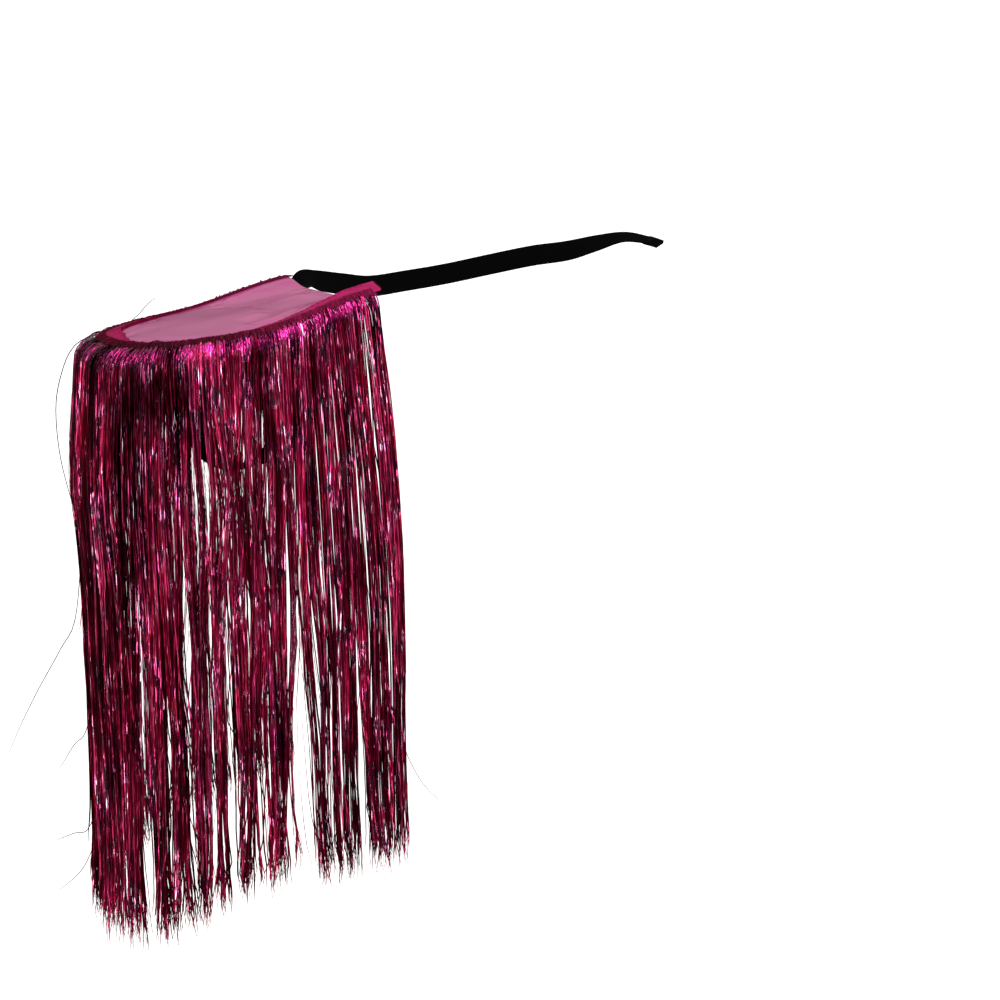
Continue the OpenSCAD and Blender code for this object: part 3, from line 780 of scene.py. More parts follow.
own_noise, wisp_noise = [
    add(tinsel, "ShaderNodeCombineXYZ", {"X": number, "Y": own["down"]}).outputs[0]
    for number in (own["phase"], wisp)]
wander = []
for vector, scale, amount in ((own_noise, STRAND_WAVES, STRAND_SWAY), (wisp_noise, WISP_WAVES, 1.0),
                              (own_noise, CURL_WAVES, 1.0)):
    noise = add(tinsel, "ShaderNodeTexNoise", {"Vector": vector, "Scale": scale, "Detail": 1.0})
    centred = add(tinsel, "ShaderNodeVectorMath",
                  {0: noise.outputs["Color"], 1: (0.5, 0.5, 0.5)}, operation="SUBTRACT").outputs[0]
    wander.append(add(tinsel, "ShaderNodeVectorMath", {0: centred, "Scale": amount},
                      operation="SCALE").outputs[0])
both = add(tinsel, "ShaderNodeVectorMath", {0: wander[0], 1: wander[1]}).outputs[0]
free = add(tinsel, "ShaderNodeMath", {0: cling, 1: ALWAYS_FREE}).outputs[0]
reach = given["Sway"]
for factor in (own["room"], free):
    reach = add(tinsel, "ShaderNodeMath", {0: reach, 1: factor}, operation="MULTIPLY").outputs[0]
bend = add(tinsel, "ShaderNodeMath", {0: given["Curl"], 1: own["curl"]}, operation="MULTIPLY").outputs[0]
swayed, curled = [
    add(tinsel, "ShaderNodeVectorMath", {0: vector, "Scale": far}, operation="SCALE").outputs[0]
    for vector, far in ((both, reach), (wander[2], bend))]
sway = add(tinsel, "ShaderNodeVectorMath", {0: swayed, 1: curled}).outputs[0]
parts = add(tinsel, "ShaderNodeSeparateXYZ", {0: sway}).outputs
spread = add(tinsel, "ShaderNodeMath", {0: own["deep"], 1: given["Depth"]}, operation="MULTIPLY").outputs[0]
slack = add(tinsel, "ShaderNodeMath", {0: own["room"], 1: LEAST_LAYERED}, operation="MAXIMUM").outputs[0]
off = add(tinsel, "ShaderNodeMath", {0: spread, 1: slack, 2: parts["Y"]},
          operation="MULTIPLY_ADD").outputs[0]
ride_up = add(tinsel, "ShaderNodeMath", {0: spread, 1: own["lift"]}, operation="MULTIPLY").outputs[0]
shift = (0.0, 0.0, 0.0)
for direction, far in ((outward, off), (sideways, parts["X"]), ((0.0, 0.0, 1.0), ride_up)):
    move = add(tinsel, "ShaderNodeVectorMath", {0: direction, "Scale": far}, operation="SCALE")
    shift = add(tinsel, "ShaderNodeVectorMath", {0: shift, 1: move.outputs[0]}).outputs[0]
strands = add(tinsel, "GeometryNodeSetPosition", {
    "Geometry": strands, "Position": position, "Offset": shift}).outputs[0]
print("with its sway it has", len(tinsel.nodes), "nodes")

# %% [markdown]
# A strand is a flat strip of film. It becomes a ribbon with a thin three-sided section that
# faces outward and turns about the strand, partly by itself and partly together with its
# neighbours, so whole patches mirror the same place. Where the fringe hangs thin, many
# strands have twisted up as thin as hairs. Three sides keep two thousand strands light.
# %% Ribbons
PATCH_SCALE = (26.0, 3.0, 1.0)  # patches round the edge and down the curtain
PATCH_FROM, PATCH_TO = 0.3, 0.7  # noise values at the two ends of a patch's turn
PATCH_TURN = 0.8  # radians either way
OWN_TURN = 0.6
SECTION_SIDES = 3
HAIR = 0.34  # a twisted strand's share of a flat one's width

strands = add(tinsel, "GeometryNodeSetCurveNormal",
              {"Curve": strands, "Normal": outward}, mode="FREE").outputs[0]
patch = add(tinsel, "ShaderNodeVectorMath", {0: where, 1: PATCH_SCALE}, operation="MULTIPLY").outputs[0]
patch = add(tinsel, "ShaderNodeTexNoise", {"Vector": patch, "Scale": 1.0, "Detail": 1.0}).outputs["Fac"]
patch = add(tinsel, "ShaderNodeMapRange", {
    "Value": patch, "From Min": PATCH_FROM, "From Max": PATCH_TO, "To Min": -PATCH_TURN,
    "To Max": PATCH_TURN}).outputs[0]
cubed = add(tinsel, "ShaderNodeMath", {0: own["turn"], 1: 3.0}, operation="POWER").outputs[0]
spin = add(tinsel, "ShaderNodeMath", {0: own["spin"], 1: given["Twist"]}, operation="MULTIPLY").outputs[0]
tilt = patch
for number, amount in ((cubed, OWN_TURN), (spin, own["share"])):
    tilt = add(tinsel, "ShaderNodeMath", {0: number, 1: amount, 2: tilt},
               operation="MULTIPLY_ADD").outputs[0]
strands = add(tinsel, "GeometryNodeSetCurveTilt", {"Curve": strands, "Tilt": tilt}).outputs[0]
spare = add(tinsel, "ShaderNodeMath", {0: own["open"], 1: own["kept"]}, operation="SUBTRACT").outputs[0]
flat = add(tinsel, "ShaderNodeMapRange", {
    "Value": spare, "From Min": -0.1, "From Max": 0.1, "To Min": HAIR, "To Max": 1.0}).outputs[0]
thin = own["breadth"]
for factor in (own["slim"], flat):
    thin = add(tinsel, "ShaderNodeMath", {0: thin, 1: factor}, operation="MULTIPLY").outputs[0]
size = add(tinsel, "ShaderNodeCombineXYZ", {"X": given["Film"], "Y": given["Width"], "Z": 1.0})
circle = add(tinsel, "GeometryNodeCurvePrimitiveCircle", {"Resolution": SECTION_SIDES, "Radius": 0.5})
section = add(tinsel, "GeometryNodeTransform",
              {"Geometry": circle.outputs[0], "Scale": size.outputs[0]}).outputs[0]
ribbons = add(tinsel, "GeometryNodeCurveToMesh",
              {"Curve": strands, "Profile Curve": section, "Scale": thin, "Fill Caps": True}).outputs[0]
flat_shaded = add(tinsel, "GeometryNodeSetShadeSmooth",
                  {"Geometry": ribbons, "Shade Smooth": False}).outputs[0]
real = add(tinsel, "GeometryNodeRealizeInstances", {0: flat_shaded}).outputs[0]
finished = add(tinsel, "GeometryNodeSetMaterial",
               {"Geometry": real, "Material": given["Material"]}).outputs[0]
add(tinsel, "NodeGroupOutput", {0: finished})
print("the whole tinsel tree has", len(tinsel.nodes), "nodes")


# %% [markdown]
# A tree only describes a shape. To use one, a modifier with the tree goes on an object, its
# inputs are set by their identifiers, and the evaluated result becomes a plain mesh.
# %% Turn a tree's result into a plain mesh
def grow(name, source, tree, **values):
    """Object with the mesh that the tree makes from the source mesh and the given inputs."""
    base = bpy.data.objects.new(name + "_base", source)
    scene.collection.objects.link(base)
    modifier = base.modifiers.new("tree", "NODES")
    modifier.node_group = tree
    sockets = {item.name: item.identifier for item in tree.interface.items_tree
               if item.in_out == "INPUT"}
    for socket, value in values.items():
        modifier[sockets[socket]] = value
    evaluated = base.evaluated_get(bpy.context.evaluated_depsgraph_get())
    mesh = bpy.data.meshes.new_from_object(evaluated)
    mesh.name = name
    bpy.data.objects.remove(base)
    return new_object(name, mesh)


# %% [markdown]
# Tinsel film is polyester metallised with aluminium and lacquered magenta. The lacquer
# colours the mirror, so the strand is a metal with a strong colour. Crinkles some 4 mm across
# and 13 mm long tilt the mirror here and there, which gives the eye sparks of hot pink between
# nearly black stretches. A material needs an empty tree with a surface, so a helper comes first.
# %% Material: metallised polyester film
def new_material(name):
    """Material with an empty tree but for its surface and output."""
    material = bpy.data.materials.new(name)
    material.use_nodes = True
    tree = material.node_tree
    tree.nodes.clear()
    surface = tree.nodes.new("ShaderNodeBsdfPrincipled")
    output = tree.nodes.new("ShaderNodeOutputMaterial")
    tree.links.new(surface.outputs[0], output.inputs["Surface"])
    return material, tree, surface


def per_metre(*sizes):
    """Scale of a pattern whose spots have these sizes in millimetres."""
    return [1 / (size * MM) for size in sizes]


CRINKLE_SIZE = (4.348, 4.348, 13.333)
CRINKLE_DEPTH = 2.2  # deeper than real crinkles, which are too fine to show in the render

foil, tree, surface = new_material("metallised_polyester_film")
surface.inputs["Metallic"].default_value = 1.0
coordinates = add(tree, "ShaderNodeTexCoord").outputs["Object"]
phase, kin, down, lit = [add(tree, "ShaderNodeAttribute", attribute_name=name).outputs["Fac"]
                         for name in ("phase", "kin", "down", "lit")]
crinkle = add(tree, "ShaderNodeMapping", {"Vector": coordinates, "Scale": per_metre(*CRINKLE_SIZE)})
crinkle = add(tree, "ShaderNodeTexNoise", {
    "Vector": crinkle.outputs[0], "W": phase, "Scale": 1.0, "Detail": 1.0, "Roughness": 0.5},
    noise_dimensions="4D")
bump = add(tree, "ShaderNodeBump", {
    "Height": crinkle.outputs["Fac"], "Strength": 1.0, "Distance": CRINKLE_DEPTH * MM})
for socket in ("Normal", "Coat Normal"):
    tree.links.new(bump.outputs[0], surface.inputs[socket])
print("crinkles repeat", [round(scale) for scale in per_metre(*CRINKLE_SIZE)], "times in a metre")

# %% [markdown]
# Handled film is scuffed and dull. It mirrors cleanly only in patches some 11 mm wide, and
# where it is drawn taut over the bend, so one mask from scuffed (0) to clean (1) sets both
# the roughness and which of two ramps of lacquer shades the strand has. The clean ramp is
# paler and brighter, partly the clean film's own lacquer and partly a painted glint, and over
# the bend the colour is mixed further towards hot pink, a painted highlight row.
# %% Scuffed and clean film, with painted glints and a painted highlight row
PATCH_SIZE = (11.111, 11.111, 16.667)
TAUT_ENDS = (0.034, 0.058)  # share of the drop at which the bend's pull begins and has ended
TAUT_HELPS = 0.16
CLEAN_FROM, CLEAN_TO = 0.54, 0.61  # where the noise turns from scuffed to clean
SCUFFED_ROUGH, CLEAN_ROUGH = 0.4, 0.17

patches = add(tree, "ShaderNodeMapping", {"Vector": coordinates, "Scale": per_metre(*PATCH_SIZE)})
own_place = add(tree, "ShaderNodeMath", {0: kin, 1: 0.5}, operation="MULTIPLY").outputs[0]
smooth_and_glint = add(tree, "ShaderNodeTexNoise", {
    "Vector": patches.outputs[0], "W": own_place, "Scale": 1.0, "Detail": 1.0},
    noise_dimensions="4D").outputs["Fac"]
# Taut over the bend: smoother film there, and the place of the painted highlight row.
taut_and_highlight = add(tree, "ShaderNodeMapRange", {
    "Value": down, "From Min": TAUT_ENDS[0], "From Max": TAUT_ENDS[1], "To Min": 1.0,
    "To Max": 0.0}).outputs[0]
smooth_and_glint = add(tree, "ShaderNodeMath", {0: taut_and_highlight, 1: TAUT_HELPS, 2: smooth_and_glint},
             operation="MULTIPLY_ADD").outputs[0]
smooth_and_glint = add(tree, "ShaderNodeMapRange", {
    "Value": smooth_and_glint, "From Min": CLEAN_FROM, "From Max": CLEAN_TO}).outputs[0]
roughness = add(tree, "ShaderNodeMapRange", {
    "Value": smooth_and_glint, "To Min": SCUFFED_ROUGH, "To Max": CLEAN_ROUGH})
tree.links.new(roughness.outputs[0], surface.inputs["Roughness"])
tint = add(tree, "ShaderNodeMath", {0: phase}, operation="FRACT").outputs[0]
# The clean ramp's pale pinks are partly painted glints.
scuffed, clean_and_glint = [add(tree, "ShaderNodeValToRGB", {"Fac": tint}, stops).outputs["Color"] for stops in (
    ((0.0, "#820622"), (0.5, "#aa1042"), (1.0, "#c83870")),
    ((0.0, "#c42c6a"), (0.4, "#cc4c86"), (0.75, "#d090ac"), (0.92, "#c8709e"), (1.0, "#b03884")))]
# Painted highlight: over the bend the clean colour is mixed towards hot pink.
clean_and_glint = add(tree, "ShaderNodeMix", {0: taut_and_highlight, 6: clean_and_glint, 7: linear("#d83088")}, data_type="RGBA").outputs[2]
lacquer_and_glint = add(tree, "ShaderNodeMix", {0: smooth_and_glint, 6: scuffed, 7: clean_and_glint}, data_type="RGBA").outputs[2]
print("film's roughness runs from", CLEAN_ROUGH, "to", SCUFFED_ROUGH)

# %% [markdown]
# Roots lie packed under the tape, where little light comes, and whole patches of strands
# hang behind others, so both are given painted shade, and the painted light from the curtain
# also brightens a few patches. That light can't be left to the render alone, because thin
# strands with air between them pass more of it than packed film does. The lacquer also has a
# clear coat, which gives the eye a pale gleam on top of the coloured one; the same painted
# shade dims that gleam.
# %% Light among the strands
ROOT_ENDS = (0.008, 0.022)  # share of the drop
ROOT_LIGHT = 0.25
COAT = 0.17
COAT_LESS_TAUT = -0.12

rooted = add(tree, "ShaderNodeMapRange", {
    "Value": down, "From Min": ROOT_ENDS[0], "From Max": ROOT_ENDS[1], "To Min": ROOT_LIGHT,
    "To Max": 1.0}).outputs[0]
dimmed = add(tree, "ShaderNodeMath", {0: rooted, 1: lit}, operation="MULTIPLY").outputs[0]
colour = add(tree, "ShaderNodeVectorMath", {0: lacquer_and_glint, "Scale": dimmed}, operation="SCALE").outputs[0]
tree.links.new(colour, surface.inputs["Base Color"])
coat = add(tree, "ShaderNodeMath", {0: taut_and_highlight, 1: COAT_LESS_TAUT, 2: COAT},
           operation="MULTIPLY_ADD").outputs[0]
coat = add(tree, "ShaderNodeMath", {0: coat, 1: dimmed}, operation="MULTIPLY").outputs[0]
tree.links.new(coat, surface.inputs["Coat Weight"])
surface.inputs["Coat Roughness"].default_value = 0.12
print("film's material has", len(tree.nodes), "nodes")

# %% [markdown]
# The strands are made in three lots, round the front, the outer end and the back, so that
# each stays a mesh of modest size.
# %% Grow the strands
STRANDS_PER_MM = 5.2
STRAND_WIDTH = 1.15
STRAND_FILM = 0.2  # thicker than real film, so that a strand still shows edge-on
WISPS = 66
LAYERS_DEEP = 7.0
SWAY_REACH = 19.0
TIP_CURL = 12.0
SHORTEST = 0.5  # of the drop
TWIST = 1.4  # radians from top to tip, at most
LOTS = (  # name, and from and to which share of the edge's length
    ("tinsel_front", 0.0, 0.36), ("tinsel_end", 0.35, 0.65), ("tinsel_back", 0.64, 1.0))

fringe = []
for seed, (name, start, end) in enumerate(LOTS, 5):
    fringe.append(grow(
        name, curtain_mesh, tinsel, **{
            "Template": template, "Count": round(STRANDS_PER_MM * EDGE_LENGTH * (end - start)),
            "Seed": seed, "Wisps": WISPS, "From": start, "To": end, "Width": STRAND_WIDTH * MM,
            "Film": STRAND_FILM * MM, "Depth": LAYERS_DEEP * MM, "Sway": SWAY_REACH * MM,
            "Shortest": SHORTEST, "Twist": TWIST, "Curl": TIP_CURL * MM,
            "Past tips": PAST_TIPS, "Material": foil}))
    print(name, "has", len(fringe[-1].data.polygons), "faces")
bpy.data.objects.remove(template)

# %% [markdown]
# Sewing thread, frayed ends and stray strands are all lines with a small section. Their
# places are worked out as lists of points, and one node tree gives any such lines a body.
# %% Node tree for threads
threads = new_tree("threads along lines", (
    ("Width", "Float"), ("Sides", "Int"), ("Material", "Material")))
given = add(threads, "NodeGroupInput").outputs
curves = add(threads, "GeometryNodeMeshToCurve", {0: given["Geometry"]}).outputs[0]
circle = add(threads, "GeometryNodeCurvePrimitiveCircle",
             {"Resolution": given["Sides"], "Radius": 0.5}).outputs[0]
slim = add(threads, "GeometryNodeInputNamedAttribute", {"Name": "slim"}).outputs[0]
size = add(threads, "ShaderNodeMath", {0: slim, 1: given["Width"]}, operation="MULTIPLY").outputs[0]
tubes = add(threads, "GeometryNodeCurveToMesh", {
    "Curve": curves, "Profile Curve": circle, "Scale": size, "Fill Caps": True}).outputs[0]
real = add(threads, "GeometryNodeRealizeInstances", {0: tubes}).outputs[0]
finished = add(threads, "GeometryNodeSetMaterial",
               {"Geometry": real, "Material": given["Material"]}).outputs[0]
add(threads, "NodeGroupOutput", {0: finished})
print("thread tree has", len(threads.nodes), "nodes")


def lines_mesh(name, lines, **columns):
    """Mesh of separate lines, given as lines by points by 3, with named numbers for the points."""
    count, length = lines.shape[:2]
    first = np.arange(count)[:, None] * length + np.arange(length - 1)
    mesh = mesh_from(name, lines, [], np.stack([first, first + 1], -1).reshape(-1, 2).tolist())
    number_points(mesh, {column: np.broadcast_to(values, (count, length))
                         for column, values in columns.items()})
    return mesh


# %% [markdown]
# The heading and the stitches are spun polyester thread: short fibres twisted together, dyed
# magenta. It has no gloss of its own, so it is rough and nearly without a highlight. Its colour
# runs from nearly black to deep magenta by the number tone on the lines: the table sets it
# darker or lighter round the edge, and single threads of the heading are lighter and darker
# than their neighbours.
# %% Material: spun sewing thread
spun, tree, surface = new_material("spun_polyester_thread")
tone = add(tree, "ShaderNodeAttribute", attribute_name="tone").outputs["Fac"]
colour = add(tree, "ShaderNodeValToRGB", {"Fac": tone}, (
    (0.0, "#1c0409"), (0.3, "#3c0614"), (0.65, "#620628"), (1.0, "#92124a"))).outputs["Color"]
tree.links.new(colour, surface.inputs["Base Color"])
surface.inputs["Roughness"].default_value = 0.8
surface.inputs["Specular IOR Level"].default_value = 0.1
print("thread's material has", len(tree.nodes), "nodes")

# %% [markdown]
# The tape does not end in a clean line. The fringe's heading, a row of dark threads that
# binds the strands' upper ends, is sewn over the tape's outer part, and round the front it
# hides the tape nearly wholly. A row of the table says how far in over the tape the threads
# reach there, and their tone. A row of running stitches holds tape and pad together, and the
# tape's cut ends have frayed.
# %% Heading threads, stitches and frayed ends
HEADING = (  # share of the edge's length, reach in over the tape in mm, tone
    (0.0, 4.2, 0.9), (0.12, 4.0, 0.85), (0.17, 4.6, 0.7), (0.22, 5.0, 0.5), (0.4, 5.0, 0.35),
    (0.46, 4.2, 0.35), (0.5, 3.5, 0.35), (0.6, 2.6, 0.5), (0.7, 2.0, 0.55), (1.0, 1.6, 0.6))
HEADING_THREADS = 2000
HEADING_PAST = 4.6  # how far past the tape's outer edge the threads reach
HEADING_DROP = 2.9  # and how far they droop there
HEADING_POINTS = 7
STITCH_PITCH = 3.6
STITCH_LENGTH = 2.5
STITCH_INSET = 1.6
HEADING_WIDTH = 0.42
STITCH_WIDTH = 0.34

rng = np.random.default_rng(11)
one = (HEADING_THREADS, 1)
course = np.linspace(0, 1, HEADING_POINTS)
thread_s = rng.uniform(0.5, EDGE_LENGTH - 0.5, one)
places, reaches, tones = np.array(HEADING).T
inner = np.interp(thread_s / EDGE_LENGTH, places, reaches) + rng.uniform(-2.2, 0.8, one)
inward = inner - (inner + HEADING_PAST) * course
s = thread_s + rng.normal(0, 1.2, one) * (2 * course - 1) + rng.normal(0, 0.2, inward.shape)
heading_lines = tape_top(s, 1 - inward / tape_width(s))
heading_lines[..., 2] += (0.15 + rng.uniform(0, 0.8, one) * np.sin(np.pi * course)
                          * np.interp(thread_s, (270, 310), (1, 0.4))
                          - HEADING_DROP * np.maximum(0, -inward / HEADING_PAST) ** 1.5)
tone = np.interp(thread_s / EDGE_LENGTH, places, tones) + rng.normal(0, 0.2, one)
heading = grow("fringe_heading", lines_mesh("heading", heading_lines, slim=1.0, tone=tone),
               threads, Width=HEADING_WIDTH * MM, Sides=3, Material=spun)

stitch_s = np.arange(2, EDGE_LENGTH - 2, STITCH_PITCH)[:, None] + np.linspace(0, STITCH_LENGTH, 5)
stitch_line = tape_top(stitch_s, STITCH_INSET / tape_width(stitch_s))
stitch_line[..., 2] += np.array([-0.2, 0.14, 0.2, 0.14, -0.2])
stitch_lines = [stitch_line]
FRAYED = 18
for end, way in ((-TAPE_TAIL, -1), (EDGE_LENGTH + TAPE_TAIL_BACK, 1)):
    f = np.linspace(0.03, 0.97, FRAYED)[:, None] + rng.normal(0, 0.02, (FRAYED, 5))
    s = end + way * rng.uniform(0.3, 1.5, (FRAYED, 1)) * np.linspace(-1, 1, 5)
    line = tape_top(s, np.clip(f, 0, 1))
    line[..., 2] -= rng.uniform(0.2, 0.9, (FRAYED, 1))
    stitch_lines.append(line)
stitches = grow(
    "tape_stitching", lines_mesh("stitches", np.concatenate(stitch_lines), slim=1.0, tone=0.8),
    threads, Width=STITCH_WIDTH * MM, Sides=5, Material=spun)
print("heading has", len(heading.data.polygons), "faces, stitching", len(stitches.data.polygons))

# %% [markdown]
# Both elastics are flat woven bands, sewn flat under the pad. Each follows a route of places
# through which a smooth curve runs, with the lean of the band at each: 0 lies flat and -90
# stands on edge. The strap turns on edge to lie against the neck.
# %% Routes of the elastic bands
ELASTIC_W = 15.0
ELASTIC_THICK = 1.4
SEAT_DROP = PAD_THICK + SEAT_GAP + ELASTIC_THICK / 2
SEAT_REACH = ELASTIC_W / 2 + 0.5
BAND_STEPS = 16


def seat_z(x, y):
    """Height of the middle of a band sewn under the pad, clear of the lowest place it covers."""
    return float(min(pad_z(x + dx, y + dy) - dx * SLOPE_DROP / REACH
                     for dx in (-SEAT_REACH, 0, SEAT_REACH) for dy in (-4, 0, 4))) - SEAT_DROP


STRAP_ROUTE = (
    (47, 53, seat_z(47, 53), 1), (59, 58, seat_z(59, 58), 0), (69, 63, seat_z(66, 63) - 0.6, 0),
    (76, 67, 8.3, -8), (84, 73, 11.2, -45), (97, 83, 7.6, -66), (120, 96, 2, -78),
    (146, 112, -3.5, -88), (180, 127, -4, -90), (215, 133, -2, -90), (250, 131, 3, -86),
    (280, 123, 8.4, -78), (303, 112, 12, -65), (320, 99, 18, -44), (335, 86, 23.2, -22),
    (346, 75, 22.5, -10), (355, 65, 19.5, -6))
LOOP_ROUTE = (
    (13, -44, seat_z(13, -44), 0), (13, -50, seat_z(13, -50), 0),
    (13, -56, seat_z(13, -56) - 0.4, 0), (13, -62, -3, 0), (13, -66, -14, 0), (14, -67, -36, 0),
    (13, -60, -64, 0), (9, -37, -84, 0), (4, 2, -94, 0), (-1, 36, -92, 0), (-4, 59, -75, 0),
    (-6, 67, -46, 0), (-6, 66, -24, 0), (-6, 62, -12, 0), (-6, 56, seat_z(-6, 56) - 0.4, 0),
    (-6, 50, seat_z(-6, 50), 0), (-6, 44, seat_z(-6, 44), 0))
LOOP_SIDE = (REACH, 0, SLOPE_DROP)


print("strap's route has", len(STRAP_ROUTE), "places, the loop's", len(LOOP_ROUTE))

# %% [markdown]
# A band's cross-section is swept along its route by hand rather than with a curve object,
# because the lean at each place is then exact, and the ribs and the hem can be part of the
# mesh. The UV map is in metres along and across, so the weave lies straight on the band.
# %% Elastic bands
def smooth_route(rows):
    """Places on a Catmull-Rom curve through the rows."""
    rows = np.array(rows, float)
    padded = np.concatenate([rows[:1], rows, rows[-1:]])
    a, b, c, d = padded[:-3], padded[1:-2], padded[2:-1], padded[3:]
    f = (np.arange(BAND_STEPS) / BAND_STEPS)[None, :, None]
    a, b, c, d = a[:, None], b[:, None], c[:, None], d[:, None]
    curve = 0.5 * (2 * b + (c - a) * f + (2 * a - 5 * b + 4 * c - d) * f ** 2
                   + (3 * b - a - 3 * c + d) * f ** 3)
    return np.concatenate([curve.reshape(-1, rows.shape[1]), rows[-1:]])


def lengths_along(points):
    """Length along a line at each of its points."""
    return np.concatenate([[0], np.cumsum(np.linalg.norm(np.diff(points, axis=0), axis=1))])


def band_frame(rows, side=None):
    """Middle of a band along its route, and the directions of its width and its thickness."""
    path = smooth_route(rows)
    place, lean = path[:, :3], np.radians(path[:, 3])[:, None]
    along = np.gradient(place, axis=0)
    along /= np.linalg.norm(along, axis=1, keepdims=True)
    if side is None:
        level = np.cross(along, (0, 0, 1))
    else:
        level = np.array(side, float) - along * (along @ np.array(side, float))[:, None]
    level /= np.linalg.norm(level, axis=1, keepdims=True)
    up = np.cross(level, along)
    return place, level * np.cos(lean) + up * np.sin(lean), up * np.cos(lean) - level * np.sin(lean)


RIBS = 11
RIB_HEIGHT = 0.22
BAND_COLUMNS = RIBS * 4 + 1
HEM = 11.0


def elastic_band(name, rows, side=None, hem=0.0):
    """Closed band with ribs along it, thicker by the share hem at its end, with a UV map."""
    place, wide, deep = band_frame(rows, side)
    f = np.linspace(-1, 1, BAND_COLUMNS)[None, :, None]
    s = lengths_along(place)
    half = ELASTIC_THICK / 2 - RIB_HEIGHT * np.cos(f * np.pi * RIBS) ** 2
    half = half * (1 + hem * ease(s[-1] - HEM - 1, s[-1] - HEM + 1, s))[:, None, None]
    middle_points = place[:, None] + wide[:, None] * f * ELASTIC_W / 2
    mesh = closed_sheet(name, middle_points + deep[:, None] * half,
                        middle_points - deep[:, None] * half)
    uv_values = np.stack(np.broadcast_arrays(s[:, None], f[..., 0] * ELASTIC_W / 2), -1)
    name_corners(mesh, np.concatenate([uv_values] * 2) * MM)
    mesh.shade_smooth()
    print(name, "is", round(float(s[-1])), "mm long")
    return new_object(name, mesh)


strap = elastic_band("neck_strap_elastic", STRAP_ROUTE, hem=0.8)
loop = elastic_band("arm_loop_elastic", LOOP_ROUTE, LOOP_SIDE)

# %% [markdown]
# A short zigzag of thread holds each sewn end of the elastics, and another holds the hem at
# the strap's free end.
# %% Zigzag tacks
TACK_POINTS = 23
TACK_WIDTH = 0.4


def tack(rows, side, start, end, face, lift):
    """Zigzag across a band between two lengths along it, on its upper (1) or lower (-1) face."""
    place, wide, deep = band_frame(rows, side)
    s = lengths_along(place)
    at = np.linspace(start, end, TACK_POINTS) % s[-1]
    place, wide, deep = [np.stack([np.interp(at, s, part[:, axis]) for axis in range(3)], -1)
                         for part in (place, wide, deep)]
    swing = (ELASTIC_W / 2 - 1.2) * np.where(np.arange(TACK_POINTS) % 2, 1, -1)[:, None]
    return place + wide * swing + deep * face * (ELASTIC_THICK / 2 + lift)


tacks = np.stack([
    tack(STRAP_ROUTE, None, 1.5, 9, -1, 0.1), tack(STRAP_ROUTE, None, -9.5, -6.5, 1, 0.65),
    tack(STRAP_ROUTE, None, -9.5, -6.5, -1, 0.65), tack(LOOP_ROUTE, LOOP_SIDE, 1.5, 8, -1, 0.1),
    tack(LOOP_ROUTE, LOOP_SIDE, -8, -1.5, -1, 0.1)])
tacking = grow("elastic_tacks", lines_mesh("tacks", tacks, slim=1.0, tone=0.0), threads,
               Width=TACK_WIDTH * MM, Sides=5, Material=spun)
print(len(tacks), "zigzag tacks")

# %% [markdown]
# A few strands have sprung loose from the fringe and stand out in wide bows. Each is a route
# of places with a smooth curve through them, because no rule gives where a loose strand goes.
# %% Stray strands
STRAYS = (
    ((-92, 12, -120), (-98, 19.5, -185), (-104, 43.7, -215.3), (-112, 80, -253.8),
     (-118, 118, -293), (-121, 146, -322)),
    ((-90, 10, -230), (-97, 14.7, -262.5), (-104, 20.2, -273), (-112, 29, -290.9)),
    ((-90, 22, -320), (-96, 31.7, -339), (-102, 40.8, -343.7), (-110, 60, -355)),
    ((-88, 22, -330), (-94, 29.4, -352.9), (-101, 37.3, -370.8), (-110, 60.9, -392)),
    ((76, -92, -225), (77.8, -97, -259.3), (82.5, -100, -276), (89, -104, -289.4),
     (96.9, -108, -299)),
    ((-84, 5, -4), (-92, 7.1, -8.6), (-99, 9, -20.8), (-103, 18.9, -46.7), (-103, 16.2, -78.6),
     (-98, 10.8, -110.8), (-92, 8, -140)),
    ((-45, 62, -9), (-34.9, 66, -3), (-27, 70, 3), (-20.5, 73, 6)),
)
STRAY_POINTS = 30
STRAY_WIDTH = 0.6


def evenly(points, count):
    """The same line with count points, evenly spaced along it."""
    s = lengths_along(points)
    at = np.linspace(0, s[-1], count)
    return np.stack([np.interp(at, s, points[:, axis]) for axis in range(3)], -1)


stray_lines = np.stack([evenly(smooth_route(route), STRAY_POINTS) for route in STRAYS])
# lit=0.12 gives the stray strands a dark painted shade.
strays = grow("tinsel_strays", lines_mesh(
    "strays", stray_lines, slim=1 - 0.5 * np.linspace(0, 1, STRAY_POINTS) ** 3, down=0.5, lit=0.12,
    phase=np.linspace(0.2, 60.2, len(STRAYS))[:, None], kin=0.0), threads,
    Width=STRAY_WIDTH * MM, Sides=4, Material=foil)
print(len(STRAYS), "stray strands")

# %% [markdown]
# Soft PVC film is a dyed plastic skin with a mirror-like top coat. It shows a deep magenta
# from above and pale reflections at low angles. The dye clouds it a little, and a fine grain
# keeps its reflections from being perfectly sharp.
# %% Material: glossy vinyl
CLOUD_SIZE = 55.556
GRAIN_SIZE = 1.111

